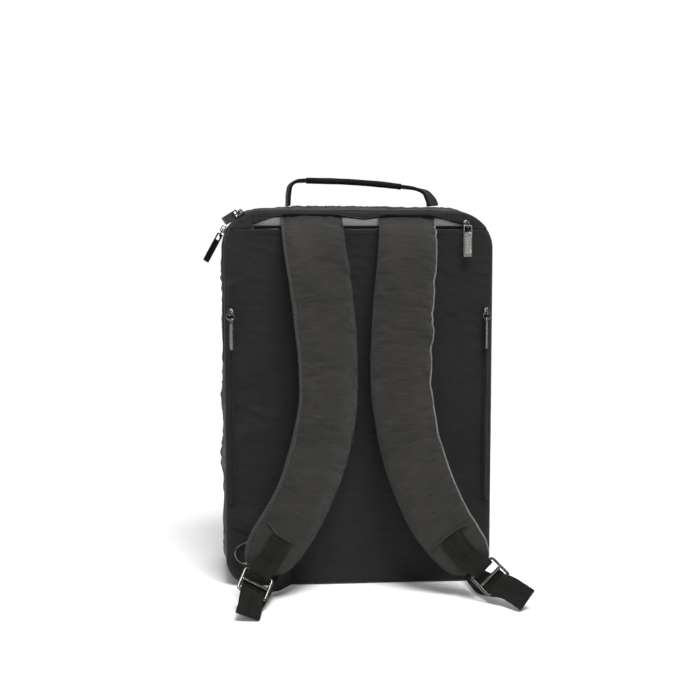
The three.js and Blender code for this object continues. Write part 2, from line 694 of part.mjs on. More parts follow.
function strapHalf(frameAt, count, toward) {
  const share = toward > 0 ? 1 - MESH_SHARE : MESH_SHARE;
  return loft(
    span(count).map((t) => {
      const { p, side, out, wide, thick } = frameAt(t);
      const split = (0.5 - (1 - MESH_SHARE)) * thick;
      const depth = share * thick - CLEAR / 2;
      return padProfile.map(([a, b]) =>
        p.clone()
          .addScaledVector(side, (a * wide) / 2)
          .addScaledVector(out, split + toward * (CLEAR / 2 + b * depth)),
      );
    }),
  );
}

// The metal slider: a frame with a bar across its middle
function buckleGeometry() {
  const shape = roundedShape(BUCKLE_W, BUCKLE_L, 2.4);
  const tall = (BUCKLE_L - 3 * BUCKLE_BAR) / 2;
  const wide = BUCKLE_W - 2 * BUCKLE_BAR;
  for (const sign of [-1, 1]) {
    const middle = (sign * (BUCKLE_BAR + tall)) / 2;
    const hole = new THREE.Path();
    hole.moveTo(-wide / 2, middle - tall / 2);
    hole.lineTo(-wide / 2, middle + tall / 2);
    hole.lineTo(wide / 2, middle + tall / 2);
    hole.lineTo(wide / 2, middle - tall / 2);
    hole.closePath();
    shape.holes.push(hole);
  }
  return plate(shape, BUCKLE_T);
}

// Where each buckle lies: its middle, its bars' direction and the way it hangs, as shares
const buckleTables = {
  left: { side: -0.779, off: 0.64, up: 0.066, bars: [0.88, 0, -0.47], hangs: [-0.35, -0.66, -0.6] },
  right: { side: 0.893, off: 0.6, up: 0.068, bars: [0.7, 0, 0.71], hangs: [0.62, -0.4, -0.6] },
};

// The webbing from the bag's lower seam, under the buckle, out to its fold and back up to the
// buckle: over its last bar, and up behind its middle bar. lie is the direction of its width
const webbingTables = {
  left: {
    start: { side: -0.5, off: 0.012, up: 0.036, lie: [0.1, 0, 1] },
    rear: { side: -0.585, off: 0.2, up: 0.036, lie: [0.2, 0, 1] },
    under: { side: -0.72, off: 0.44, up: 0.028, lie: [0.8, 0, 0.3] },
    low: { side: -0.805, off: 0.72, up: 0.025, lie: [0.905, -0.02, -0.42] },
    fold: { side: -0.828, off: 0.93, up: 0.019, lie: [0.93, 0, -0.36] },
    high: { side: -0.81, off: 0.8, up: 0.043, lie: [0.91, 0, -0.4] },
  },
  right: {
    start: { side: 0.82, off: 0.012, up: 0.037, lie: [0.05, 0, 1] },
    rear: { side: 0.83, off: 0.2, up: 0.036, lie: [0.1, 0, 1] },
    under: { side: 0.875, off: 0.44, up: 0.036, lie: [0.4, 0, 0.9] },
    low: { side: 1.01, off: 0.672, up: 0.043, lie: [0.58, 0.1, 0.81] },
    fold: { side: 1.1, off: 0.84, up: 0.031, lie: [0.6, 0.1, 0.79] },
    high: { side: 0.987, off: 0.7, up: 0.05, lie: [0.58, 0.1, 0.81] },
  },
};

// The fold at the webbing's far end: a half turn from its lower layer to the upper one
function turnBack(low, fold, high) {
  const ahead = square(fold.p.clone().sub(low.p), fold.side);
  const up = fold.side.clone().cross(ahead);
  if (up.dot(high.p.clone().sub(low.p)) < 0) up.negate();
  return halfTurn(FOLD_R).reverse().map(([a, c]) => ({
    p: fold.p.clone().addScaledVector(ahead, a).addScaledVector(up, c),
    side: fold.side,
  }));
}

for (const word of ['left', 'right']) {
  const rows = strapTables[word];
  const frameAt = strapFrames(rows);
  const count = 28;
  add(`strap_pad_${word}`, strapHalf(frameAt, count, 1), strapCloth);
  add(`strap_mesh_${word}`, strapHalf(frameAt, count, -1), meshCloth);

  const b = buckleTables[word];
  const bars = unit(...b.bars);
  const given = vec(...b.hangs);
  const hangs = given.addScaledVector(bars, -given.dot(bars)).normalize();
  const out = bars.clone().cross(hangs.clone().negate()).normalize();
  const middle = vec(b.side * HALF_W, -HALF_D - b.off * BODY_D, b.up * BODY_H);
  place(add(`strap_buckle_${word}`, buckleGeometry(), gunmetal), bars, hangs.clone().negate(), out, middle);

  // The tab lies on the pad's face, folds around the buckle's first bar and ends behind it
  const first = middle.clone().addScaledVector(hangs, -(BUCKLE_L - BUCKLE_BAR) / 2);
  const lift = WEBBING_T / 2 + 2 * CLEAR;
  const wrap = Math.hypot(BUCKLE_BAR, BUCKLE_T) / 2 + lift;
  const onPad = [[0.808, 0.2], [0.85, 0.7], [0.89, 1.4]].map(([t, rise]) => {
    const f = frameAt(t);
    return { p: f.p.clone().addScaledVector(f.out, f.thick / 2 + lift + rise), side: f.side };
  });
  const folds = (bar, from, toward) =>
    halfTurn(wrap).map(([a, c]) => ({
      p: bar.clone().addScaledVector(from, toward * a).addScaledVector(out, c),
      side: bars,
    }));
  const tabRows = [...onPad, ...folds(first, hangs, 1)];
  add(`strap_tab_${word}`, ribbon(route(tabRows, 24), TAB_W, WEBBING_T), webbingCloth);

  const w = webbingTables[word];
  const bagRow = (r) => ({
    p: vec(r.side * HALF_W, -HALF_D - r.off * BODY_D, r.up * BODY_H),
    side: unit(...r.lie),
  });
  const last = middle.clone().addScaledVector(hangs, (BUCKLE_L - BUCKLE_BAR) / 2);
  const [start, rear, under, low, fold, high] = Object.values(w).map(bagRow);
  const loop = [start, rear, under, low, ...turnBack(low, fold, high), high];
  const tail = { p: middle.clone().addScaledVector(out, -wrap), side: bars };
  const webbingRows = [...loop, ...folds(last, hangs, -1), tail];
  add(`strap_webbing_${word}`, ribbon(route(webbingRows, 48), TAB_W, WEBBING_T), webbingCloth);
}

// The ring at the lower left: its bow faces the bag's edge, and its tab lies on the panel
{
  const x = -HALF_W + D_RING_IN;
  const wrap = D_RING_WIRE / 2 + CLEAR + WEBBING_T / 2;
  const y = -HALF_D - D_TAB_LIFT - WEBBING_T / 2 - wrap;
  const half = D_RING_H / 2 - D_RING_WIRE / 2;
  const bow = span(10, -Math.PI / 2, Math.PI / 2).map((a) =>
    vec(x - D_RING_WIRE - (D_RING_W - 2 * D_RING_WIRE) * Math.cos(a), y, D_RING_Z + half * Math.sin(a)),
  );
  const bar = [vec(x, y, D_RING_Z + half * 0.9), vec(x, y, D_RING_Z), vec(x, y, D_RING_Z - half * 0.9)];
  add('d_ring_left', wireLoop([...bow, ...bar], vec(0, 1, 0), D_RING_WIRE / 2), gunmetal);
  const side = vec(0, 0, 1);
  const ends = [[-D_TAB_REACH, wrap], [-D_TAB_REACH / 2, wrap]];
  const stations = [...ends, ...halfTurn(wrap), ...ends.map(([a, c]) => [a, -c]).reverse()]
    .map(([a, c]) => ({ p: vec(x - a, y + c, D_RING_Z), side }));
  add('d_ring_tab', ribbon(route(stations, 16), D_TAB_W, WEBBING_T), webbingCloth);
}

// The handle's route over the top: at is a share of half the width, and rise, the way above
// the crown, a share of the handle's height
const handleRows = [
  { at: -0.515, rise: 0.025, twist: -5 },
  { at: -0.513, rise: 0.2, twist: -5 },
  { at: -0.51, rise: 0.48, twist: -6 },
  { at: -0.495, rise: 0.8, twist: -6 },
  { at: -0.45, rise: 0.96, twist: -4 },
  { at: -0.375, rise: 1, twist: 0 },
  { at: -0.08, rise: 0.963, twist: 0 },
  { at: 0.19, rise: 0.87, twist: 0 },
  { at: 0.36, rise: 0.778, twist: 4 },
  { at: 0.47, rise: 0.7, twist: 16 },
  { at: 0.55, rise: 0.54, twist: 28 },
  { at: 0.594, rise: 0.26, twist: 33 },
  { at: 0.606, rise: 0.1, twist: 34 },
  { at: 0.608, rise: 0.03, twist: 34 },
];
{
  const rows = handleRows.map(({ at, rise, twist }) => {
    const angle = (twist * Math.PI) / 180;
    const p = vec(at * HALF_W, 0, BODY_H + TOP_CROWN + rise * HANDLE_RISE);
    return { p, side: vec(Math.sin(angle), Math.cos(angle), 0) };
  });
  const leftEnd = 5;
  const rightStart = 8;
  const short = rows.slice(0, leftEnd + 1);
  const long = rows.slice(rightStart);
  const middle = rows.slice(leftEnd, rightStart + 1);
  const grip = middle.map((row) => ({ p: row.p.clone(), side: row.side.clone() }));
  grip[0].p.x += CLEAR;
  grip[grip.length - 1].p.x -= CLEAR;
  add('handle_leg_left', ribbon(route(short, 14), WEBBING_W, HANDLE_T), webbingCloth);
  add('handle_leg_right', ribbon(route(long, 14), WEBBING_W, HANDLE_T), webbingCloth);
  const profile = [[-1, -0.4], [-0.6, -1], [0.6, -1], [1, -0.4], [1, 0.4], [0.6, 1], [-0.6, 1], [-1, 0.4]];
  const sections = route(grip, 12).map(({ p, side, out }) =>
    profile.map(([a, c]) =>
      p.clone().addScaledVector(side, (a * GRIP_W) / 2).addScaledVector(out, (c * GRIP_T) / 2),
    ),
  );
  add('handle_grip', loft(sections), webbingCloth);
}

export default bag;
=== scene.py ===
# %% [markdown]
# # A convertible backpack in black nylon twill
# The bag stands on its flat base with its harness towards the camera. Two padded straps come out
# of a pocket under the top edge, and end in webbing that lies on the floor in front. A model from
# measured solids is loaded first, and each of its pieces is then dressed in cloth, webbing or metal.

import math

import bpy
import numpy as np
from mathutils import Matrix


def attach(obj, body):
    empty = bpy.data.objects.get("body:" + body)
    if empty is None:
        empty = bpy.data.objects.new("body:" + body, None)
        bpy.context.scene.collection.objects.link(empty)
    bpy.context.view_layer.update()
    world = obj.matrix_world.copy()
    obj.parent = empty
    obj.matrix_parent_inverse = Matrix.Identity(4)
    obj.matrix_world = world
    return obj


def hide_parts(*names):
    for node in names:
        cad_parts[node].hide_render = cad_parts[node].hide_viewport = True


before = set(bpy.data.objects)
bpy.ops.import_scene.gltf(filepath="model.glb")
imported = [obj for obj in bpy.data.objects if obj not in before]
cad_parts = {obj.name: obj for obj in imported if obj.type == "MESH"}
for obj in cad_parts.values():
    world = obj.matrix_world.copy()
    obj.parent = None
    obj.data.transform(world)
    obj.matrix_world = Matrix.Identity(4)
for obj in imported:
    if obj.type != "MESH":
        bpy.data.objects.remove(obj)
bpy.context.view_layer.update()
print("pieces in the measured model:", len(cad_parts))

# %% [markdown]
# ## Sizes
# All shapes are worked out in millimetres, as a bag maker would note them, and are turned into
# metres when a mesh is made. The bag's outline is a rectangle with larger corners at the top. Its
# back panel faces the camera, so depth grows away from it.

# %% The bag's own sizes
MM = 0.001
WIDTH, HEIGHT, DEPTH = 292.0, 408.0, 130.0
HALF_W, HALF_D = WIDTH / 2, DEPTH / 2
TOP_R, BASE_R = 40.0, 30.0
PANEL_T, WALL_T, CLEAR = 4.0, 2.2, 0.3
SLOT_HALF, SLOT_DROP, LIP_DROP = 113.0, 18.4, 2.6
SEAM_Z = HEIGHT - SLOT_DROP
PANEL_BACK = -HALF_D + PANEL_T
RIM_START, RIM_W, ZIP_W = PANEL_BACK + CLEAR, 8.7, 12.4
RIM_END = RIM_START + RIM_W
FRONT_START = RIM_END + CLEAR + ZIP_W + CLEAR
FRONT_END = HALF_D - PANEL_T - CLEAR
SIDE_BULGE, TOP_CROWN, FRONT_PUFF = 4.0, 8.0, 9.0
COIL_W, COIL_RISE = 2.8, 1.1
STRAP_W, STRAP_T, MESH_SHARE = 67.0, 12.0, 0.7
HANDLE_W, WEBBING_T, WEBBING_W = 26.0, 1.8, 25.0
HANDLE_T, GRIP_W, GRIP_T = 4.2, 15.0, 6.8
ZIP_END = 0.6
print("bag:", WIDTH, "wide,", HEIGHT, "high,", DEPTH, "deep")

# %% [markdown]
# ## Arithmetic on whole arrays
# Cloth is never quite even. Three small functions are enough for it: an eased step, a round bump,
# and a ripple that adds a few waves with seeded directions, so that it is the same on each run.


# %% Steps, bumps and ripples
def ease(x):
    """Eased step: 3x² - 2x³, with x held between 0 and 1."""
    x = np.clip(x, 0, 1)
    return x * x * (3 - 2 * x)


def knoll(x, reach):
    """Round bump: e to the power of minus (x over reach) squared."""
    return np.exp(-((x / reach) ** 2))


def ripple(a, b, length, seed, waves=7):
    """Sum of sine waves over a and b whose lengths lie around length, scaled to about 1."""
    rng = np.random.default_rng(seed)
    total = 0
    for _ in range(waves):
        turn = rng.uniform(0, 2 * np.pi)
        count = 2 * np.pi / (length * rng.uniform(0.6, 1.7))
        total = total + np.sin(count * (a * np.cos(turn) + b * np.sin(turn)) + rng.uniform(0, 6.28))
    return total / np.sqrt(waves / 2) / 1.6


def table(rows, place):
    """Columns of a table at a place along its first column, joined by straight lines."""
    rows = np.array(rows, float)
    return [np.interp(place, rows[:, 0], rows[:, k]) for k in range(1, rows.shape[1])]


print("a ripple goes from", *np.round([f(ripple(np.arange(500), 0, 30, 1)) for f in (np.min, np.max)], 2))

# %% [markdown]
# ## From a grid of points to a mesh
# Every piece is a grid: rows and columns of points. Where rows or columns come back to their start
# they are joined, and the open ends of a tube are closed by one flat face. The mesh keeps a map of
# the cloth's own lengths, in metres, for the weave to follow.


# %% Nets
def basis(*axes):
    """Unit vectors of three axes as the rows of a matrix."""
    return np.array([np.array(a, float) / np.linalg.norm(a) for a in axes])


def net(points, rows_meet=False, columns_meet=False, caps=False):
    """Corners, faces and cloth lengths of a grid. Faces join neighbours, and the volume's sign turns
    them outwards."""
    n, m = points.shape[:2]
    number = np.arange(n * m).reshape(n, m)
    wide = np.concatenate([number, number[:, :1]], 1) if columns_meet else number
    wide = np.concatenate([wide, wide[:1]], 0) if rows_meet else wide
    corners = points.reshape(-1, 3)
    laid = corners[wide]
    across = np.linalg.norm(np.diff(laid, axis=1), axis=2)
    along = np.linalg.norm(np.diff(laid, axis=0), axis=2).mean(1)
    u = np.concatenate([np.zeros((len(laid), 1)), np.cumsum(across, 1)], 1)
    v = np.repeat(np.concatenate([[0], np.cumsum(along)])[:, None], laid.shape[1], 1)
    lengths = np.stack([u, v], 2) * MM

    def quads(grid):
        return np.stack([grid[:-1, :-1], grid[1:, :-1], grid[1:, 1:], grid[:-1, 1:]], 2)

    faces = quads(wide).reshape(-1, 4)
    marks = quads(np.arange(wide.size).reshape(wide.shape)).reshape(-1, 4)
    spread = lengths.reshape(-1, 2)[marks]
    a, b, c, d = (corners[faces[:, k]] for k in range(4))
    volume = np.einsum("ij,ij", a, np.cross(b, c)) + np.einsum("ij,ij", a, np.cross(c, d))
    if volume < 0:
        faces, spread = faces[:, ::-1], spread[:, ::-1]
    ends = [number[0], number[-1][::-1]] if caps else []
    if volume < 0:
        ends = [end[::-1] for end in ends]
    return {"corners": corners, "faces": faces, "spread": spread, "ends": ends}


def settle(name, nets, finish, slot, replaces=(), fill=None, flat=False):
    """One object at the origin from one or more nets, riding on the bag."""
    mesh = bpy.data.meshes.new(name)
    corners = np.concatenate([part["corners"] for part in nets]) * MM
    corners[:, 2] = np.maximum(corners[:, 2], 0)
    faces, spread, start = [], [], 0
    for part in nets:
        faces += (part["faces"] + start).tolist() + [(end + start).tolist() for end in part["ends"]]
        spread.append(part["spread"].reshape(-1, 2))
        spread += [np.zeros((len(end), 2)) for end in part["ends"]]
        start += len(part["corners"])
    mesh.from_pydata(corners, [], faces)
    layer = mesh.uv_layers.new(name="lengths")
    layer.data.foreach_set("uv", np.concatenate(spread).ravel())
    mesh.polygons.foreach_set("use_smooth", np.full(len(faces), not flat))
    mesh.materials.append(finish)
    mesh.update()
    piece = bpy.data.objects.new(name, mesh)
    bpy.context.collection.objects.link(piece)
    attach(piece, "root")
    if replaces:
        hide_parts(*([replaces] if isinstance(replaces, str) else replaces))
    triangles = sum(len(face) - 2 for face in faces)
    print(f"{name}: {triangles} triangles")
    return piece


def curve(points, count):
    """Smooth path through points, with the square root of each span as its knot spacing. Returns
    the places, and the tangents, which are the slopes of the same cubics."""
    p = np.array(points, float)
    p = np.concatenate([[2 * p[0] - p[1]], p, [2 * p[-1] - p[-2]]])
    gaps = np.linalg.norm(np.diff(p, axis=0), axis=1) ** 0.5
    spot = np.linspace(0, len(points) - 1, count)
    i = np.minimum(spot.astype(int), len(points) - 2)
    t = (spot - i)[:, None]
    d0, d1, d2 = (gaps[i + k][:, None] for k in range(3))
    a, b, c, d = (p[i + k] for k in range(4))
    start = ((b - a) / d0 - (c - a) / (d0 + d1) + (c - b) / d1) * d1
    stop = ((c - b) / d1 - (d - b) / (d1 + d2) + (d - c) / d2) * d1
    second, third = 3 * (c - b) - 2 * start - stop, 2 * (b - c) + start + stop
    places = b + t * (start + t * (second + t * third))
    slopes = start + t * (2 * second + 3 * t * third)
    return places, slopes / np.linalg.norm(slopes, axis=1)[:, None]


def square(a, b):
    """Directions a with their share along the unit directions b taken out."""
    a = a - (a * b).sum(-1, keepdims=True) * b
    return a / np.linalg.norm(a, axis=-1, keepdims=True)


def sweep(places, side, out, profile):
    """Rings along a path: each point of the profile goes its first number along side and its
    second along out."""
    profile = np.broadcast_to(profile, (len(places),) + np.shape(profile)[-2:])
    return places[:, None] + profile[..., :1] * side[:, None] + profile[..., 1:] * out[:, None]


def band(width, thick, count=20, power=5.0):
    """Profile of a flat band with soft edges: a superellipse, cosine and sine to the power 2/n."""
    a = np.linspace(0, 2 * np.pi, count, endpoint=False) + 1e-3
    c, s = np.cos(a), np.sin(a)
    x = np.sign(c) * np.abs(c) ** (2 / power) * width / 2
    return np.stack([x, np.sign(s) * np.abs(s) ** (2 / power) * thick / 2], 1)


print("profile of the webbing:", len(band(WEBBING_W, WEBBING_T)), "points")

# %% [markdown]
# ## Finishes
# A finish is a Principled shader whose colour, roughness and bump come from the cloth's lengths.
# Arithmetic on a wire adds a Math node, so that a weave can be written as a formula.


# %% Wires and finishes
class Wire:
    """A value on its way through a material: a socket with the operators that a formula needs."""

    def __init__(self, finish, socket):
        self.finish, self.socket = finish, socket

    def math(self, kind, other=0.0, swapped=False):
        pair = (other, self) if swapped else (self, other)
        return self.finish.node("ShaderNodeMath", {"operation": kind}, {0: pair[0], 1: pair[1]})

    def __add__(self, other):
        return self.math("ADD", other)

    def __sub__(self, other):
        return self.math("SUBTRACT", other)

    def __rsub__(self, other):
        return self.math("SUBTRACT", other, True)

    def __mul__(self, other):
        return self.math("MULTIPLY", other)

    def __truediv__(self, other):
        return self.math("DIVIDE", other)

    def __pow__(self, other):
        return self.math("POWER", other)

    __radd__, __rmul__ = __add__, __mul__


class Finish:
    """A material with one Principled shader. Fixed values are set on its sockets."""

    def __init__(self, name, **fixed):
        self.material = bpy.data.materials.new(name)
        self.material.use_nodes = True
        self.tree = self.material.node_tree
        self.shader = self.tree.nodes["Principled BSDF"]
        for socket, value in fixed.items():
            self.shader.inputs[socket.replace("_", " ")].default_value = value

    def node(self, kind, settings=None, sockets=None, out=0):
        """Adds a node: first its settings, or the stops of its ramp, then its sockets' values."""
        node = self.tree.nodes.new(kind)
        for key, value in (settings or {}).items():
            if key == "stops":
                ramp = node.color_ramp
                while len(ramp.elements) < len(value):
                    ramp.elements.new(0.5)
                for stop, (place, colour) in zip(ramp.elements, value):
                    stop.position, stop.color = place, (*colour, 1)
            else:
                setattr(node, key, value)
        for key, value in (sockets or {}).items():
            if isinstance(value, Wire):
                self.tree.links.new(value.socket, node.inputs[key])
            else:
                node.inputs[key].default_value = value
        return Wire(self, node.outputs[out])

    def feed(self, socket, wire):
        self.tree.links.new(wire.socket, self.shader.inputs[socket])

    def lengths(self):
        """The cloth's own lengths in millimetres: across and along."""
        spot = self.node("ShaderNodeUVMap", {"uv_map": "lengths"})
        return [self.node("ShaderNodeSeparateXYZ", None, {0: spot}, k) * (1 / MM) for k in (0, 1)]

    def noise(self, across, along, detail=2.0, z=0.0):
        """Soft noise between 0 and 1 at a place given by two wires."""
        spot = self.node("ShaderNodeCombineXYZ", None, {0: across, 1: along, 2: z})
        return self.node("ShaderNodeTexNoise", None, {"Vector": spot, "Scale": 1.0, "Detail": detail})

    def wave(self, angle):
        return angle.math("SINE")

    def between(self, share, first, second):
        """A colour between two, by a share."""
        colours = {0: share, 6: (*first, 1), 7: (*second, 1)}
        return self.node("ShaderNodeMix", {"data_type": "RGBA"}, colours, 2)

    def relief(self, height, depth):
        """Feeds a height through a bump, whose full depth is given in millimetres."""
        bump = self.node("ShaderNodeBump", None, {"Strength": 1.0, "Distance": depth * MM, "Height": height})
        self.feed("Normal", bump)


print("finishes before the bag's own:", len(bpy.data.materials))

# %% [markdown]
# The bag's nylon is a fine twill: its threads cross in steps, so that slanted ribs show in a close
# look, and uneven threads draw faint level lines over the panel. The straps are covered in the same
# cloth, painted lighter there as painted light, for pads that stand out into the light. The panel's
# and the band's cloth has painted shade along the bag's top, darker where it turns away over the edge.

# %% Twill
TOP_SHADE_FROM, TOP_SHADE_RATE = 0.39, 60.0


def twill(name, dark, light, pitch=0.62, depth=0.1, slub=1.0, sheen=0.08, specular=0.12, crown=0.0):
    """Slanted ribs, the sine of across plus along, cut by threads, the sine of along, with noise
    drawn out along the threads for uneven yarn. Above a set height crown paints shade on the top."""
    finish = Finish(name, Specular_IOR_Level=specular, Sheen_Weight=sheen, Sheen_Roughness=0.5)
    u, v = finish.lengths()
    ribs = finish.wave((u + v * 0.5) * (2 * math.pi / pitch))
    threads = finish.wave(v * (2 * math.pi / pitch))
    yarn = finish.noise(u * 0.045, v * 0.75, 3.0)
    worn = finish.noise(u * 0.03, v * 0.03, 3.0, 7.0)
    crease = finish.noise(u * 0.16, v * 0.12, 4.0, 3.0)
    shade = (yarn - 0.5) * (0.9 * slub) + (worn - 0.5) * 0.7 + ribs * 0.12 + 0.45
    # Painted shade: above a set height the colour darkens, where the bag's top turns away from the light.
    if crown:
        spot = finish.node("ShaderNodeTexCoord", out=3)
        height = finish.node("ShaderNodeSeparateXYZ", None, {0: spot}, 2)
        steep = {"operation": "MULTIPLY_ADD", "use_clamp": True}
        over = finish.node("ShaderNodeMath", steep, {0: height, 1: TOP_SHADE_RATE, 2: -TOP_SHADE_FROM * TOP_SHADE_RATE})
        shade = shade - over * crown
    finish.feed("Base Color", finish.between(shade, dark, light))
    finish.feed("Roughness", worn * 0.3 + 0.42)
    finish.relief(ribs * 0.5 + threads * 0.3 + yarn * 1.2 + crease * 5.0, depth)
    return finish.material


# The panel and the band carry painted shade along the bag's top, by crown.
panel_nylon = twill(
    "panel_nylon", (0.004, 0.004, 0.004), (0.0125, 0.0125, 0.0121), slub=1.6, specular=0.17, crown=0.3
)
band_nylon = twill("band_nylon", (0.006, 0.006, 0.006), (0.016, 0.0155, 0.015), specular=0.3, crown=0.45)
# The straps' copy of the twill is painted lighter: painted light for pads that stand out into the light.
lit_strap_nylon = twill("lit_strap_nylon", (0.013, 0.0125, 0.0115), (0.037, 0.0355, 0.0325), depth=0.16, slub=1.5)
# The rolled edge's twill is painted much paler than the strap's: a painted highlight where it catches the
# light.
painted_highlight_nylon = twill("painted_highlight_nylon", (0.06, 0.058, 0.054), (0.2, 0.193, 0.18), slub=0.8, specular=0.4)
lining_nylon = twill("lining_nylon", (0.84, 0.9, 0.87), (0.93, 0.97, 0.95), pitch=0.5, depth=0.06)
print("twills:", len([m for m in bpy.data.materials if m.name.endswith("nylon")]))

# %% [markdown]
# The straps' walls and backs are a knitted mesh with rows of small holes. The webbing is woven with
# strong lengthwise ribs that its slanted weft crosses, and the zips' tapes are a plain, even weave.


# %% Knit, webbing and zip tape
def knit(name, dark, light, pitch=2.2):
    """Holes where the product of two sines, set off by half a step each row, is high."""
    finish = Finish(name, Specular_IOR_Level=0.12, Sheen_Weight=0.05)
    u, v = finish.lengths()
    step = math.pi / pitch
    holes = finish.wave((u + v * 0.6) * step) * finish.wave((u - v * 0.6) * step)
    open_ = holes.math("ABSOLUTE") ** 1.5
    loose = finish.noise(u * 0.5, v * 0.5, 3.0)
    finish.feed("Base Color", finish.between(open_ * 1.1 + loose * 0.3 - 0.15, light, dark))
    finish.feed("Roughness", loose * 0.2 + 0.7)
    finish.relief(1 - open_ * 1.3 + loose * 0.4, 0.8)
    return finish.material


def ribbed(name, dark, light, rib=1.5, depth=0.3, slant=0.9, sheen=0.06, specular=0.16):
    """Rounded ribs, the absolute sine of across, crossed by slanted threads, the sine of along
    plus a folded share of across."""
    finish = Finish(name, Specular_IOR_Level=specular, Sheen_Weight=sheen)
    u, v = finish.lengths()
    ribs = finish.wave(u * (math.pi / rib)).math("ABSOLUTE")
    zigzag = (u / (4 * rib)).math("PINGPONG", 0.5) * (4 * rib * slant)
    threads = finish.wave((v + zigzag) * (2 * math.pi / (rib * 0.62)))
    worn = finish.noise(u * 0.12, v * 0.05, 3.0)
    shade = ribs * 0.4 + threads * 0.22 + worn * 0.9 - 0.25
    finish.feed("Base Color", finish.between(shade, dark, light))
    finish.feed("Roughness", worn * 0.25 + 0.42)
    finish.relief(ribs + threads * 0.35 + worn, depth)
    return finish.material


piping_knit = knit("piping_knit", (0.001, 0.001, 0.001), (0.06, 0.058, 0.054), pitch=2.6)
mesh_knit = knit("mesh_knit", (0.0006, 0.0006, 0.0006), (0.045, 0.043, 0.04))
DULL = {"sheen": 0.02, "specular": 0.08}
webbing_weave = ribbed("webbing_weave", (0.0008, 0.0008, 0.0008), (0.02, 0.0195, 0.0175), **DULL)
handle_weave = ribbed("handle_weave", (0.003, 0.003, 0.0028), (0.014, 0.0137, 0.013), rib=1.3, **DULL)
tape_weave = ribbed("tape_weave", (0.003, 0.003, 0.003), (0.009, 0.009, 0.009), rib=0.7, depth=0.12)
thread = ribbed("thread", (0.002, 0.002, 0.002), (0.007, 0.007, 0.0065), rib=0.3, depth=0.05, specular=0.05)
print("cloths:", len(bpy.data.materials))

# %% [markdown]
# The buckles, the ring at the lower left and the zips' sliders have a dark plating with fine
# scratches, which shines only where it faces a light. The main zip's pulls are nearly black, and
# the plates of the other three pulls are a little paler.


# %% Metals
def plated(name, dark, light, rough, specks=0.5):
    """Metal whose brightness and roughness wander slowly, with scratches drawn out one way."""
    finish = Finish(name, Metallic=1.0)
    u, v = finish.lengths()
    wander = finish.noise(u * 0.35, v * 0.35, 3.0)
    scratch = finish.noise(u * 6.0, v * 0.5, 2.0, 5.0)
    finish.feed("Base Color", finish.between(wander * 0.8 + scratch * 0.4 - 0.1, dark, light))
    finish.feed("Roughness", (wander - 0.5) * 0.3 + (scratch - 0.5) * specks * 0.2 + rough)
    finish.relief(scratch + wander * 2.0, 0.02)
    return finish.material


gunmetal = plated("gunmetal", (0.03, 0.029, 0.027), (0.2, 0.19, 0.175), 0.22)
dark_metal = plated("dark_metal", (0.005, 0.005, 0.005), (0.035, 0.033, 0.031), 0.3)
buckle_metal = plated("buckle_metal", (0.03, 0.029, 0.027), (0.24, 0.23, 0.21), 0.24)
plate_metal = plated("plate_metal", (0.08, 0.078, 0.074), (0.3, 0.292, 0.28), 0.3)
print("finishes:", len(bpy.data.materials))

# %% [markdown]
# ## Thread
# Seams show as rows of short stitches. One stitch is a small bead of thread with a few dozen faces,
# and a row repeats it along a path, each one pressed a little into the cloth.


# %% Stitches
def stitches(places, out, length=2.6, gap=1.0, thick=0.55):
    """One bead for each step of a path: a half sine of thickness over a short tube."""
    along = np.diff(places, axis=0)
    far = np.concatenate([[0], np.cumsum(np.linalg.norm(along, axis=1))])
    count = max(int(far[-1] / (length + gap)), 1)
    middle = (np.arange(count) + 0.5) * far[-1] / count
    spot = np.stack([np.interp(middle, far, places[:, k]) for k in range(3)], 1)
    face = np.stack([np.interp(middle, far, out[:, k]) for k in range(3)], 1)
    ahead = np.stack([np.interp(middle + 0.5, far, places[:, k]) for k in range(3)], 1)
    ahead = np.where(np.linalg.norm(ahead - spot, axis=1)[:, None] > 0.1, ahead - spot, along[-1])
    ahead = ahead / np.linalg.norm(ahead, axis=1)[:, None]
    side = np.cross(ahead, square(face, ahead))
    t = np.linspace(-1, 1, 6)
    a = np.linspace(0, 2 * np.pi, 6, endpoint=False)
    size = thick * np.sqrt(np.maximum(1 - t**4, 0.02))
    ring = np.stack([np.cos(a), np.sin(a)], 1)
    nets = []
    for p, f, s, d in zip(spot, square(face, ahead), side, ahead):
        rings = p + t[:, None, None] * d * length / 2 + size[:, None, None] * (
            ring[:, :1] * s + ring[:, 1:] * f * 0.6
        )
        nets.append(net(rings, columns_meet=True, caps=True))
    return nets


test_line = np.linspace([0, 0, 0], [100, 0, 0], 50)
print("stitches in 100 mm:", len(stitches(test_line, np.tile([0, -1.0, 0], (50, 1)))))

# %% [markdown]
# ## Camera, floor and light
# The photograph is taken from a little to the left and above the middle, with a long lens. The
# floor and the background are white, and the light is broad and soft, from above and in front.

# %% Camera
CAMERA_PLACE, CAMERA_DIP, CAMERA_TURN, LENS = (-0.1083, -1.311, 0.3664), 4.9, -4.5, 59.5
camera_data = bpy.data.cameras.new("camera")
camera_data.lens, camera_data.sensor_width = LENS, 36.0
camera = bpy.data.objects.new("camera", camera_data)
camera.location = CAMERA_PLACE
camera.rotation_euler = (math.radians(90 - CAMERA_DIP), 0, math.radians(CAMERA_TURN))
bpy.context.collection.objects.link(camera)
bpy.context.scene.camera = camera
print("camera:", LENS, "mm lens,", CAMERA_DIP, "degrees down")


# %% Light
def softbox(name, place, aim, size, power):
    """A square area light that faces a point. Its size is in metres and its power in watts."""
    data = bpy.data.lights.new(name, "AREA")
    data.size, data.energy = size, power
    lamp = bpy.data.objects.new(name, data)
    lamp.location = place
    way = np.array(place) - np.array(aim)
    down, around = math.acos(way[2] / np.linalg.norm(way)), math.atan2(way[1], way[0]) + math.pi / 2
    lamp.rotation_euler = (down, 0, around)
    bpy.context.collection.objects.link(lamp)


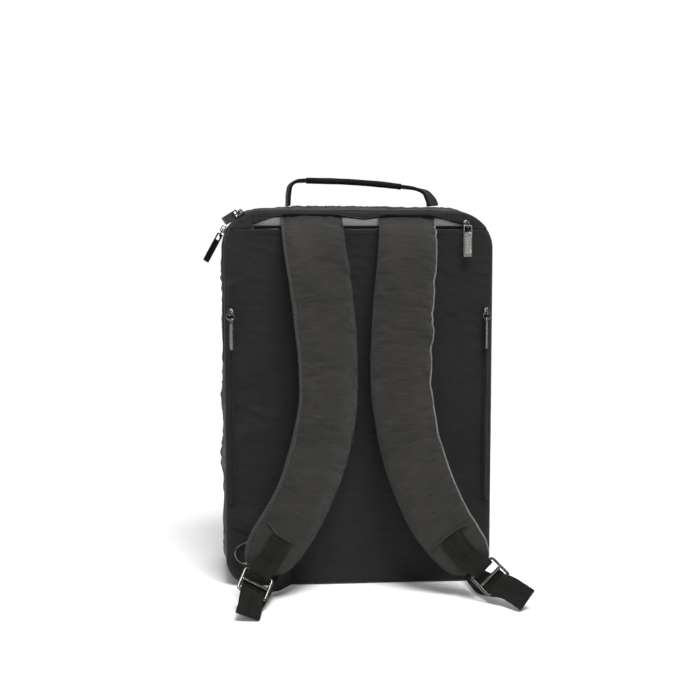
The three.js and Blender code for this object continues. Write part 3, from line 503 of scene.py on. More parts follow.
softbox("key", (0.35, -1.4, 2.6), (0, 0, 0.2), 1.2, 98)
softbox("fill", (-2.0, -1.4, 1.2), (0, 0, 0.2), 0.9, 6)
softbox("front", (0.1, -3.0, 0.7), (0, 0, 0.3), 0.7, 14)
softbox("top", (0.1, 0.5, 2.6), (0, 0, 0), 2.2, 26)

# The background is white ahead of the camera and low down, and fades to grey above and behind
SKY_WHITE, SKY_GREY, SKY_FADE, SKY_TILT = 1.02, 0.2, 0.2, -0.35
world = bpy.data.worlds.new("studio")
world.use_nodes = True
sky = world.node_tree
spot = sky.nodes.new("ShaderNodeTexCoord")
height = sky.nodes.new("ShaderNodeSeparateXYZ")
ramp = sky.nodes.new("ShaderNodeValToRGB")
for stop, at, grey in zip(ramp.color_ramp.elements, (0.0, SKY_FADE), (SKY_WHITE, SKY_GREY)):
    stop.position, stop.color = at, (grey, grey, grey, 1)
sky.links.new(spot.outputs["Generated"], height.inputs[0])
ahead = sky.nodes.new("ShaderNodeMath")
ahead.operation = "MULTIPLY_ADD"
ahead.inputs[1].default_value = SKY_TILT
sky.links.new(height.outputs["Y"], ahead.inputs[0])
sky.links.new(height.outputs["Z"], ahead.inputs[2])
sky.links.new(ahead.outputs[0], ramp.inputs["Fac"])
sky.links.new(ramp.outputs["Color"], sky.nodes["Background"].inputs["Color"])
bpy.context.scene.world = world
bpy.context.scene.view_settings.view_transform = "Standard"
print("lights:", len(bpy.data.lights))

# %% Floor
FLOOR_R, FLOOR_CORNERS = 0.9, 96
floor_finish = Finish("floor_paint", Specular_IOR_Level=0.1)
floor_spot = floor_finish.node("ShaderNodeTexCoord", out=3)
grain = floor_finish.node("ShaderNodeTexNoise", None, {"Vector": floor_spot, "Scale": 3.0})
floor_finish.feed("Base Color", floor_finish.between(grain, (0.95, 0.95, 0.95), (0.97, 0.97, 0.97)))
floor_finish.feed("Roughness", grain * 0.2 + 0.7)
floor_mesh = bpy.data.meshes.new("floor")
around = np.linspace(0, 2 * np.pi, FLOOR_CORNERS, endpoint=False)
disc = [(FLOOR_R * math.cos(a), FLOOR_R * math.sin(a), 0) for a in around]
floor_mesh.from_pydata(disc, [], [tuple(range(FLOOR_CORNERS))])
floor_mesh.materials.append(floor_finish.material)
floor = bpy.data.objects.new("floor", floor_mesh)
bpy.context.collection.objects.link(floor)
print("floor:", 2 * FLOOR_R, "m across")

# %% [markdown]
# ## The back panel
# The panel is thin foam between two layers of nylon, sewn into the bag all round. It is softly
# dented where it was packed, its edge curls back into the seam, and the seam gathers it in small
# uneven puckers. It could be simulated, but the dents are those of one real bag, so they are
# placed by a table instead: where, how far each way, and how deep.


# %% Outline
def outline_half(z, inset=0.0):
    """Half the width at a height: the straight side, less what a corner's circle takes off."""
    low, high = BASE_R - inset, TOP_R - inset
    under = np.clip(inset + low - z, 0, low)
    over = np.clip(z - (HEIGHT - inset - high), 0, high)
    base = low - np.sqrt(np.maximum(low**2 - under**2, 0))
    top = high - np.sqrt(np.maximum(high**2 - over**2, 0))
    return HALF_W - inset - base - top


def outline_top(x, inset=0.0):
    """Height of the top edge at a place across, on the same corner circles."""
    radius = TOP_R - inset
    beyond = np.clip(np.abs(x) - (HALF_W - TOP_R), 0, radius)
    return HEIGHT - TOP_R + np.sqrt(radius**2 - beyond**2)


def from_edge(x, z):
    """Distance of a place on the panel from its outline."""
    r = np.where(z < HEIGHT / 2, BASE_R, TOP_R)
    a = np.abs(x) - (HALF_W - r)
    b = np.abs(z - HEIGHT / 2) - (HEIGHT / 2 - r)
    corner = np.hypot(np.maximum(a, 0), np.maximum(b, 0))
    return r - corner - np.minimum(np.maximum(a, b), 0)


print("the panel's middle lies", float(from_edge(0, HEIGHT / 2)), "from its edge")

# %% Panel
CURL, CURL_REACH = 3.4, 7
# across, up, reach across, reach up, slant, depth
PANEL_DENTS = [
    (-112, 207, 5, 12, -1.4, 3.6),
    (-116, 196, 8, 12, -1.4, -1.8),
    (-134, 76, 5, 6, -2.1, -2.6),
    (-133, 62, 6, 6, -2.1, 2.4),
    (-113, 204, 23, 26, 0.3, 4.0),
    (-126, 168, 17, 11, 0.5, -2.2),
    (-120, 70, 18, 12, -0.4, -2.4),
    (-124, 52, 26, 6, -0.5, 1.6),
    (114, 135, 22, 33, 0.2, 3.0),
    (0, 200, 48, 130, 0.0, 3.2),
    (-50, 30, 7, 26, 0.15, -1.2),
    (-36, 26, 6, 22, 0.1, 1.2),
    (-12, 28, 7, 24, -0.1, -1.0),
    (60, 26, 8, 22, -0.2, -1.0),
    (118, 300, 16, 50, 0.1, 1.4),
    (-116, 300, 18, 60, -0.1, 1.4),
]


def panel_depth(x, z):
    """Depth of the panel's face: dents, less what the curled edge and the puckers take."""
    d = from_edge(x, z)
    top = np.clip((SEAM_Z - z) / 22, 0, 1)
    calm = ease((d - 2) / 14) * ease(top) * ease(z / 20)
    dent = 0
    for a, b, reach, rise, slant, deep in PANEL_DENTS:
        dent = dent + deep * knoll(x - a - slant * (z - b), reach) * knoll(z - b, rise)
    dent = dent + 0.35 * ripple(x, z, 60, 11) + 0.22 * ripple(x, z * 1.4, 19, 12)
    curl = CURL * (1 - np.sqrt(np.clip(1 - (1 - np.clip(d / CURL_REACH, 0, 1)) ** 2, 0, 1)))
    gather = 0.5 * ripple(z, x * 0.15, 15, 13) * knoll(d - 6, 7) * ease(top)
    return -HALF_D + np.clip(dent * calm, -2.2, 3.2) + curl + gather


rows, columns = 230, 170
z = 1 + (SEAM_Z - 1) * np.linspace(0, 1, rows)[:, None]
s = np.sin(np.linspace(-1, 1, columns) * np.pi / 2)[None] * 0.35 + np.linspace(-1, 1, columns)[None] * 0.65
x = s * outline_half(z)
face = np.stack([x, panel_depth(x, z), z + 0 * x], 2)
rear = face[:, ::-12].copy()
rear[..., 1] = PANEL_BACK
settle(
    "back_panel_cloth",
    [net(np.concatenate([face, rear], 1), columns_meet=True, caps=True)],
    panel_nylon,
    "nylon",
    "back_panel",
    fill=0.4,
)

# %% [markdown]
# Under the pocket's opening the cloth is folded over and sewn down, so a row of stitches runs
# across just below it, and stops at the seam's ends.

# %% Stitches under the opening
seam_x = np.linspace(-SLOT_HALF - 8, SLOT_HALF + 8, 200)
seam_z = np.full(200, SEAM_Z - 5.6) + 0.3 * ripple(seam_x, 0, 60, 5)
seam_y = panel_depth(seam_x, seam_z) - 0.1
seam = np.stack([seam_x, seam_y, seam_z], 1)
settle("slot_stitches", stitches(seam, np.tile([0, -1.0, 0], (200, 1)), 2.4, 0.9, 0.4), thread, "nylon")

# %% [markdown]
# ## The yoke and the pocket's opening
# A narrow strip of nylon closes the back above the opening. Its lower lip hangs in a slack wave
# between the straps, and shows the pale lining behind it.

# %% Lip
# place across, drop
LIP_WAVE = [
    (-1, 9), (-0.94, 6), (-0.82, 1.6), (-0.66, 0), (-0.28, 0.4), (-0.12, 1.6), (0.05, 4),
    (0.22, 1), (0.66, 0.6), (0.78, 2.6), (0.95, 7.5), (1, 9),
]


def lip_height(x):
    """Height of the wavy lip: the table's drop, averaged over a short way to soften its corners."""
    drops = [table(LIP_WAVE, (x + shift) / SLOT_HALF)[0] for shift in np.linspace(-4, 4, 7)]
    return HEIGHT - LIP_DROP - np.mean(drops, 0)


def yoke_low(x):
    """Lower edge of the yoke: the lip over the opening, and the panel's seam beside it."""
    beside = ease((np.abs(x) - SLOT_HALF - 0.6) / 1.6)
    return lip_height(x) * (1 - beside) + (SEAM_Z + CLEAR) * beside


far = HALF_W - TOP_R + math.sqrt(TOP_R**2 - (TOP_R - SLOT_DROP + 2) ** 2)
# share of the way up, depth
YOKE_SECTION = np.array([
    (0, -63), (0.01, -64.2), (0.04, -64.9), (0.12, -65.1), (0.25, -64.9), (0.45, -64.7), (0.65, -64.7),
    (0.82, -64.6), (0.93, -64.2), (0.985, -63.2), (1, -62.2), (1, -61), (0.7, -61), (0.35, -61),
    (0.08, -61), (0, -61.8),
])
s = np.linspace(-1, 1, 260)[:, None]
x = np.sin(s * np.pi / 2) * far * 0.3 + s * far * 0.7
low, top = yoke_low(x), outline_top(x)
t, y = YOKE_SECTION.T[:, None]
height = low + (top - low) * t
y = y + 0.3 * ripple(x, height * 2, 26, 21) * np.sin(np.pi * t) * (y < -64)
settle(
    "back_yoke_cloth",
    [net(np.stack([x + 0 * t, y, height], 2), columns_meet=True, caps=True)],
    panel_nylon,
    "nylon",
    "back_yoke",
)

# %% [markdown]
# The lining is a smooth pale nylon. It lies slack inside the pocket, with a few shallow waves.

# %% Lining
inset = WALL_T + 2 * CLEAR
z = np.linspace(inset, HEIGHT - inset, 120)[:, None]
x = np.linspace(-1, 1, 90)[None] * outline_half(z, inset)
wave = 0.8 * ripple(x, z * 0.7, 38, 31) * ease((WIDTH / 2 - inset - np.abs(x)) / 8)
wave = wave * ease((z - inset) / 10) * ease((HEIGHT - inset - z) / 6)
depth = PANEL_BACK + 6.5 + 0.9 + np.clip(wave, -0.8, 0.8)
front = np.stack([x, depth - 0.5, z + 0 * x], 2)
back = np.stack([x, depth + 0.5, z + 0 * x], 2)[:, ::-1]
settle(
    "pocket_lining_cloth",
    [net(np.concatenate([front, back], 1), columns_meet=True, caps=True)],
    lining_nylon,
    "lining",
    "pocket_lining",
)

# %% [markdown]
# ## The band around the bag
# One band of nylon runs around the sides, the top and the base, and carries the main zip. A cloth
# wall that stands without stuffing folds under its own weight, so level folds cross the sides. They
# come from a table, with smaller slanted creases between them.


# %% Stations around the outline
def stations(count, start=0.0, stop=1.0):
    """Places and outward directions around the outline, by share of its length from the middle
    of the base, anticlockwise as the camera sees it."""
    fine = 4000
    low, high = HALF_W - BASE_R, HALF_W - TOP_R
    parts = [(low, "base"), (BASE_R * np.pi / 2, "low"), (HEIGHT - BASE_R - TOP_R, "side")]
    parts += [(TOP_R * np.pi / 2, "high"), (high, "top")]
    edges = np.concatenate([[0], np.cumsum([length for length, _ in parts])])
    d = np.linspace(0, edges[-1], fine)
    a, b = (d - edges[1]) / BASE_R - np.pi / 2, (d - edges[3]) / TOP_R
    conditions = [d < edges[1], d < edges[2], d < edges[3], d < edges[4]]
    x = np.select(
        conditions,
        [d, low + BASE_R * np.cos(a), HALF_W + 0 * d, high + TOP_R * np.cos(b)],
        high - (d - edges[4]),
    )
    z = np.select(
        conditions,
        [0 * d, BASE_R + BASE_R * np.sin(a), BASE_R + d - edges[2], HEIGHT - TOP_R + TOP_R * np.sin(b)],
        HEIGHT + 0 * d,
    )
    nx = np.select(conditions, [0 * d, np.cos(a), 1 + 0 * d, np.cos(b)], 0 * d)
    nz = np.select(conditions, [0 * d - 1, np.sin(a), 0 * d, np.sin(b)], 0 * d + 1)
    half = np.stack([x, z, nx, nz], 1)
    mirror = half[::-1] * [-1, 1, -1, 1]
    whole = np.concatenate([half, mirror[1:]])
    share = np.concatenate([d, 2 * edges[-1] - d[::-1][1:]]) / (2 * edges[-1])
    at = np.linspace(start, stop, count)
    return np.stack([np.interp(at, share, whole[:, k]) for k in range(4)], 1), at * 2 * edges[-1]


# place over the depth, place up, reach over the depth, reach up, depth of the fold
SIDE_FOLDS = [
    (-0.1, 0.5, 0.35, 0.035, 2.2),
    (0.1, 0.42, 0.3, 0.03, -2.6),
    (-0.15, 0.33, 0.3, 0.035, 2.4),
    (0.2, 0.24, 0.3, 0.03, -2.4),
    (0, 0.15, 0.3, 0.03, 1.5),
    (0.3, 0.68, 0.25, 0.05, -2),
]


def band_rise(station, y):
    """How far the band stands out: a sine arch over the depth, with the folds of the sides."""
    x, z, nx, nz = (station[..., k] for k in range(4))
    share = np.clip((y - RIM_END) / (HALF_D - PANEL_T - RIM_END), 0, 1)
    across = np.clip(1 - np.abs(x) / HALF_W, 0, 1)
    top = np.maximum(nz, 0) * TOP_CROWN * (0.35 + 0.65 * ease(across * 2))
    folds = SIDE_BULGE
    for at, up, reach, rise, deep in SIDE_FOLDS:
        folds = folds + deep * knoll(share - 0.5 - at, reach) * knoll(z / HEIGHT - up, rise)
    return np.sin(np.pi * share) * (top + np.abs(nx) * folds)


def on_band(station, y, rise):
    """A point on the band: its station's place, moved outwards by its rise."""
    reach = band_rise(station, y) + rise
    x, z, nx, nz = (station[..., k] for k in range(4))
    return np.stack([x + nx * reach, y + 0 * reach, z + nz * reach], -1)


def creases(along, y, seed):
    """Slanted creases: sharp ridges, one minus the absolute sine, where a second ripple is high."""
    ridge = 1 - np.abs(np.sin(0.15 * (along + 0.9 * y) + 1.6 * ripple(along, y, 60, seed)))
    return ridge**2 * ease(0.5 + 0.9 * ripple(along, y, 70, seed + 1)) - 0.25


print("around the bag:", round(float(stations(2)[1][-1])), "mm")

# %% Band
station, along = stations(620)
station, along = station[:-1, None], along[:-1, None]
above = station[..., 1] > (ZIP_END - 0.01) * HEIGHT
start = np.where(above, FRONT_START, RIM_END + CLEAR)
t = np.linspace(0, 1, 56)[None]
y = start + (FRONT_END - start) * t
upright = np.maximum(np.abs(station[..., 2]), np.maximum(station[..., 3], 0))
calm = ease(t / 0.08) * ease((1 - t) / 0.05) * upright
rise = calm * (2.1 * creases(along, y, 41) + 0.35 * ripple(along, y, 22, 43))
rise = rise + 0.3 * ripple(along, 0 * y, 11, 44) * knoll(t, 0.1) * upright
outer = on_band(station, y, np.where((t == 0) | (t == 1), -0.5, rise))
inner = on_band(station, y[:, ::-11], np.full((1, 1), -WALL_T))
settle(
    "gusset_front_cloth",
    [net(np.concatenate([outer, inner], 1), rows_meet=True, columns_meet=True)],
    band_nylon,
    "nylon",
    "gusset_front",
)
y = np.linspace(RIM_START, RIM_END, 14)[None]
t = np.linspace(0, 1, 14)[None]
rise = 0.25 * ripple(along, y * 2, 16, 45) * np.sin(np.pi * t) - 0.7 * (np.abs(2 * t - 1) ** 6)
outer = on_band(station, y, rise * np.maximum(upright, 0.02))
inner = on_band(station, y[:, ::-4], np.full((1, 1), -WALL_T))
settle(
    "gusset_back_cloth",
    [net(np.concatenate([outer, inner], 1), rows_meet=True, columns_meet=True)],
    band_nylon,
    "nylon",
    "gusset_back",
)

# %% [markdown]
# The far side isn't seen in the photograph. It is finished plainly: the same nylon, softly padded,
# with a stitched seam around it.


# %% Far panel
def far_puff(x, z):
    """Swell of the far panel: one minus the fourth power of each share, across and up."""
    across, up = x / outline_half(z), 2 * z / HEIGHT - 1
    return FRONT_PUFF * (1 - across**4) * (1 - up**4)


z = np.linspace(1, HEIGHT - 0.5, 110)[:, None]
x = np.linspace(-1, 1, 90)[None] * outline_half(z)
back = HALF_D - PANEL_T
puff = far_puff(x, z)
loose = 0.7 * ripple(x, z, 55, 51) * ease(from_edge(x, z) / 14)
curl = 1.4 * (1 - np.sqrt(np.clip(1 - (1 - np.clip(from_edge(x, z) / 5, 0, 1)) ** 2, 0, 1)))
face = np.stack([x, back + WALL_T + puff + loose - curl, z + 0 * x], 2)
rear = np.stack([x, back + puff - 0.2 + 0 * z, z + 0 * x], 2)[:, ::-6]
settle(
    "front_panel_cloth",
    [net(np.concatenate([face, rear], 1), columns_meet=True, caps=True)],
    band_nylon,
    "nylon",
    "front_panel",
    fill=0.3,
)
SEAM_INSET = 7
place, _ = stations(500)
seam_x, seam_z = (place[:, :2] - SEAM_INSET * place[:, 2:]).T
seam_y = back + WALL_T + far_puff(seam_x, seam_z) + 0.7 * ripple(seam_x, seam_z, 55, 51) * 0.5
seam = np.stack([seam_x, seam_y + 0.15, seam_z], 1)
settle("front_panel_stitches", stitches(seam, np.tile([0, 1.0, 0], (500, 1)), 2.8, 1.2, 0.4), thread, "nylon")

# %% [markdown]
# ## Zips
# Each zip is a woven tape with a coil along its middle. The coil is a spiral of thread, so from
# outside it is a row of small ribs, which is made here by letting the coil swell and shrink.


# %% Zip strips
def zip_section(width, coil_at=0.0, rise=COIL_RISE, coil=COIL_W, thick=0.9):
    """Profile of a tape with its coil, and a mark of how much each of its points swells."""
    a = np.linspace(0, np.pi, 9)
    hump = np.stack([coil_at - coil / 2 * np.cos(a), rise * np.sin(a) ** 0.7], 1)
    base = [[-width / 2, 0], *hump.tolist(), [width / 2, 0], [width / 2, -thick], [-width / 2, -thick]]
    mark = np.array([0, *np.sin(a) ** 0.5, 0, 0, 0])
    return np.array(base), mark


def zip_strip(places, side, out, section, mark, tooth=1.9):
    """Sweeps the tape, and lets the coil's height follow a sine of the way along."""
    way = np.concatenate([[0], np.cumsum(np.linalg.norm(np.diff(places, axis=0), axis=1))])
    swell = 1 + 0.3 * np.sin(2 * np.pi * way / tooth)[:, None] * mark
    profile = np.stack([np.broadcast_to(section[:, 0], swell.shape), section[:, 1] * swell], 2)
    return net(sweep(places, side, out, profile), columns_meet=True, caps=True)


print("profile of the main zip:", len(zip_section(ZIP_W)[0]), "points")

# %% Main zip
ZIP_MIDDLE = RIM_END + CLEAR + ZIP_W / 2
full, _ = stations(4001)
kept = np.flatnonzero(full[:, 1] >= ZIP_END * HEIGHT)
share = kept[[0, -1]] / 4000
station, along = stations(1300, *share)
section, mark = zip_section(ZIP_W - 0.4, thick=1.0)
spots = on_band(station[:, None], ZIP_MIDDLE + section[None, :, 0], 0)
swell = 1 + 0.3 * np.sin(2 * np.pi * along / 1.9)[:, None] * mark
slack = 0.25 * ripple(along, 0, 34, 46)[:, None]
lift = section[None, :, 1] * swell + slack
normal = np.stack([station[:, 2], 0 * along, station[:, 3]], 1)
settle(
    "main_zip_weave",
    [net(spots + lift[..., None] * normal[:, None], columns_meet=True, caps=True)],
    tape_weave,
    "zip_tape",
    "main_zip_tape",
)

# %% Pocket zip
x = np.linspace(-SLOT_HALF - 0.5, SLOT_HALF + 0.5, 480)
middle = (-HALF_D + PANEL_BACK) / 2
ones = np.ones_like(x)
down, out = np.stack([0 * x, 0 * x, -ones], 1), np.stack([0 * x, -ones, 0 * x], 1)
for word, edge, way, wide in (
    ("upper", lip_height(x) - CLEAR, 1, 1.8),
    ("lower", SEAM_Z + CLEAR + 0 * x, -1, 3.6),
):
    places = np.stack([x, middle * ones, edge - way * wide / 2], 1)
    section, mark = zip_section(wide, wide / 2 - 0.7, 0.4 if wide < 2 else 0.9, 1.3, 0.7)
    section[:, 0] *= way
    settle(
        f"slot_tape_{word}_weave",
        [zip_strip(places, down, out, section, mark)],
        tape_weave,
        "zip_tape",
        f"slot_tape_{word}",
    )

# %% Side zips
SIDE_ZIP_W, SIDE_ZIP_L, SIDE_ZIP_TOP = 7.0, 213.0, 305.0
SIDE_ZIP_X = HALF_W - 4 - SIDE_ZIP_W / 2
for word, way in (("left", -1), ("right", 1)):
    z = np.linspace(SIDE_ZIP_TOP, SIDE_ZIP_TOP - SIDE_ZIP_L, 560)
    x = way * SIDE_ZIP_X + 0.35 * ripple(z, 0, 60, 47)
    places = np.stack([x, np.full(560, -HALF_D - CLEAR - 0.9), z], 1)
    section, mark = zip_section(SIDE_ZIP_W)
    side, out = np.tile([1.0, 0, 0], (560, 1)), np.tile([0, -1.0, 0], (560, 1))
    weave = zip_strip(places, side, out, section, mark)
    settle(f"side_zip_{word}_weave", [weave], tape_weave, "zip_tape", f"side_zip_{word}")

# %% [markdown]
# ## Sliders, link rings and pulls
# A slider is a small plate with an arch on it. A round wire link runs through the arch, and a flat
# pull with a window hangs from the link. All are cast or bent metal, so each is a profile carried
# around a closed path, with rounded edges.


# %% Metal shapes
def rounded_path(width, height, radius, count):
    """Points around a rounded rectangle, evenly by length, with outward directions."""
    a, b = width / 2 - radius, height / 2 - radius
    arcs, centres = [], [(a, b), (-a, b), (-a, -b), (a, -b)]
    for k, (cx, cy) in enumerate(centres):
        turn = np.linspace(k, k + 1, 9) * np.pi / 2
        outward = np.stack([np.cos(turn), np.sin(turn)], 1)
        arcs.append(np.concatenate([[cx, cy] + radius * outward, outward], 1))
    loop = np.concatenate(arcs + [arcs[0][:1]])
    way = np.concatenate([[0], np.cumsum(np.linalg.norm(np.diff(loop[:, :2], axis=0), axis=1))])
    at = np.linspace(0, way[-1], count, endpoint=False)
    return np.stack([np.interp(at, way, loop[:, k]) for k in range(4)], 1)


def plate_net(width, height, radius, hole, thick, edge=0.35, count=72, lift=None):
    """A plate with a window: rings that go from the window's edge to the outline, front and back.
    hole is (width, height, middle's height). The edges are rounded by a quarter circle."""
    outer = rounded_path(width, height, radius, count)
    hw, hh, hy = hole
    inner = rounded_path(hw, hh, min(0.8, hw / 3), count) + [0, hy, 0, 0]
    t = np.linspace(0, 1, 9)
    flat_in, flat_out = inner[:, :2] + inner[:, 2:] * edge, outer[:, :2] - outer[:, 2:] * edge
    across = flat_in[:, None] + (flat_out - flat_in)[:, None] * t[None, :, None]
    half = thick / 2
    top = np.full(across.shape[:2], half)
    if lift is not None:
        top = top + lift(across[..., 0], across[..., 1])
    front = np.concatenate([across, top[..., None]], 2)
    rear = np.concatenate([across[:, ::-2], np.full((count, 5, 1), -half)], 2)

    def rim(path, sign):
        turn = np.linspace(0, np.pi, 7)[1:-1] * sign
        out = path[:, None, 2:] * edge * (np.abs(np.sin(turn))[None, :, None] - 1) * sign
        ring = path[:, None, :2] + out
        high = np.broadcast_to(np.cos(turn)[None, :, None] * half, ring.shape[:2] + (1,))
        return np.concatenate([ring, high], 2)

    outer_rim = rim(outer, 1)
    inner_rim = rim(inner, -1)[:, ::-1]
    return net(np.concatenate([front, outer_rim, rear, inner_rim], 1), rows_meet=True, columns_meet=True)


def wire_net(path, normal, radius, facets=10):
    """A round wire along a closed path in a plane."""
    ahead = np.roll(path, -1, 0) - np.roll(path, 1, 0)
    ahead = ahead / np.linalg.norm(ahead, axis=1)[:, None]
    out = np.tile(np.array(normal, float), (len(path), 1))
    a = np.linspace(0, 2 * np.pi, facets, endpoint=False)
    ring = np.stack([np.cos(a), np.sin(a)], 1) * radius
    return net(sweep(path, np.cross(ahead, out), out, ring), rows_meet=True, columns_meet=True)


def bar_net(path, side, width, thick, power=3.0):
    """A bar with soft edges along an open path."""
    ahead = np.gradient(path, axis=0)
    ahead = ahead / np.linalg.norm(ahead, axis=1)[:, None]
    side = square(np.broadcast_to(side, path.shape), ahead)
    rings = sweep(path, side, np.cross(side, ahead), band(width, thick, 12, power))
    return net(rings, columns_meet=True, caps=True)


def moved(part, axes, origin):
    """A net carried from its own axes to a place: its corners times the axes, plus the origin."""
    return {**part, "corners": part["corners"] @ basis(*axes) + np.array(origin)}


print("points around a plate:", len(rounded_path(9.4, 34.0, 1.3, 72)))

# %% Slider, link and pull
SLIDER_T, ARCH_HOLE, RING_R, RING_WIRE = 2.6, 2.6, 4.2, 1.4
PULL_W, PULL_L, PULL_T, PULL_FRAME, PULL_WINDOW = 9.4, 34.0, 1.5, 1.4, 6.0


def slider_nets():
    """A rounded body from stacked outlines, and an arch whose path is half a rounded rectangle."""
    # height, share of the outline
    levels = [(0, 0.86), (0.35, 0.98), (0.8, 1), (1.25, 0.93), (1.7, 1), (2.2, 0.99), (2.5, 0.9), (2.6, 0.75)]
    path = rounded_path(8.4, 6.6, 2.4, 40)[:, :2]
    waist = 1 - 0.16 * knoll(path[:, :1] - 4.2, 2.5) * [0, 1]
    body = np.stack([np.concatenate([path * waist * share, np.full((40, 1), h)], 1) for h, share in levels])
    bend = rounded_path(6.4, 2 * (ARCH_HOLE + 0.7), 1.5, 80)[:, :2]
    bend = bend[bend[:, 1] >= -0.6]
    bend = bend[np.argsort(-np.arctan2(bend[:, 1] + 0.6, bend[:, 0]))]
    arch = np.stack([bend[:, 0], 0 * bend[:, 0], bend[:, 1] + SLIDER_T], 1)
    return [net(body, columns_meet=True, caps=True), bar_net(arch, [0, 1.0, 0], 1.9, 1.1)]


def pull_net():
    """The pull's plate hangs along minus Y from the top of its window. A raised rim surrounds a
    sunk field, and a smooth band crosses its foot."""

    def field(x, y):
        d = np.minimum(PULL_W / 2 - np.abs(x), np.minimum(y + PULL_L / 2, 8.6 - y))
        foot = ease((y + PULL_L / 2 - 5.2) / 0.5)
        return -0.3 * ease((d - 1.1) / 0.5) * foot

    window = (PULL_W - 2 * PULL_FRAME, PULL_WINDOW, PULL_L / 2 - PULL_FRAME - PULL_WINDOW / 2)
    plate = plate_net(PULL_W, PULL_L, 1.3, window, PULL_T, count=160, lift=field)
    return moved(plate, np.eye(3), (0, PULL_FRAME / 2 - PULL_L / 2, 0))


def unit(*v):
    """A direction: the vector over its length."""
    return np.array(v, float) / np.linalg.norm(v)


def hang_metal(name, seat, out, bar, swing, turn, hang, twist=0.0, shift=0.0):
    """Sets a slider on its seat, its link through the arch, and its pull in the link."""
    hole = seat + out * (SLIDER_T + ARCH_HOLE / 2)
    side = np.cross(out, bar)
    parts = [moved(part, (bar, side, out), seat) for part in slider_nets()]
    settle(f"{name}_slider_metal", parts, gunmetal, "gunmetal", f"{name}_slider")
    axis = square(turn, swing)
    a = np.linspace(0, 2 * np.pi, 40, endpoint=False)[:, None]
    circle = hole + swing * RING_R + RING_R * (np.cos(a) * swing + np.sin(a) * np.cross(axis, swing))
    link = wire_net(circle, axis, RING_WIRE / 2)
    settle(f"{name}_ring_metal", [link], gunmetal, "gunmetal", f"{name}_ring")
    eye = hole + swing * (2 * RING_R - RING_WIRE / 2 - CLEAR - PULL_FRAME / 2)
    across = square(turn, hang)
    across = across * math.cos(twist) + np.cross(hang, across) * math.sin(twist)
    pull = moved(pull_net(), (across, -hang, np.cross(across, -hang)), eye + across * shift)
    finish = dark_metal if name.startswith("main") else plate_metal
    settle(f"{name}_pull_metal", [pull], finish, "dark_metal", f"{name}_pull")


print("a pull has", len(pull_net()["corners"]), "corners")

# %% Sliders in their places
ACROSS, OUT, DOWN = unit(1, 0, 0), unit(0, -1, 0), unit(0, 0, -1)
LINK_LIFT = 1.12
swing = DOWN * math.cos(LINK_LIFT) + OUT * math.sin(LINK_LIFT)
seat = np.array([SLOT_HALF + 3, -HALF_D - CLEAR, SEAM_Z + 6.6])
hang_metal("slot_zip", seat, OUT, ACROSS, swing, ACROSS, DOWN)
for word, way in (("left", -1), ("right", 1)):
    seat = np.array([way * SIDE_ZIP_X, -HALF_D - 2 * CLEAR - 0.9 - COIL_RISE, SIDE_ZIP_TOP - 4.2])
    hang_metal(f"side_zip_{word}", seat, OUT, DOWN, DOWN, OUT, DOWN, way * 0.3, 1.8)
# angle on the corner, hang, the link's turn, twist
for word, angle, hang, turn, twist in (
    ("upper", 1.08, unit(-0.5, 0.8, -0.12), unit(-0.6, 0, 0.8), 0),
    ("lower", 0.5, unit(-0.4, 0, -0.917), unit(-0.91, 0, 0.4), 0.85),
):
    n = unit(-math.cos(angle), 0, math.sin(angle))
    spot = np.array([-(HALF_W - TOP_R) + TOP_R * n[0], HEIGHT - TOP_R + TOP_R * n[2], n[0], n[2]])
    seat = on_band(spot, ZIP_MIDDLE, COIL_RISE + CLEAR)
    down = square(hang, n)
    hang_metal(f"main_zip_{word}", seat, n, down, down, turn, down, twist)

# %% [markdown]
# ## The shoulder straps
# Each strap is a long curved pad: twill over foam in front, knitted mesh at the back and up its
# sides. It leaves the pocket flat, thickens, and narrows to a rounded tip. The tables give the
# middle line as shares of the bag's sizes, and the strap's width, thickness and twist.

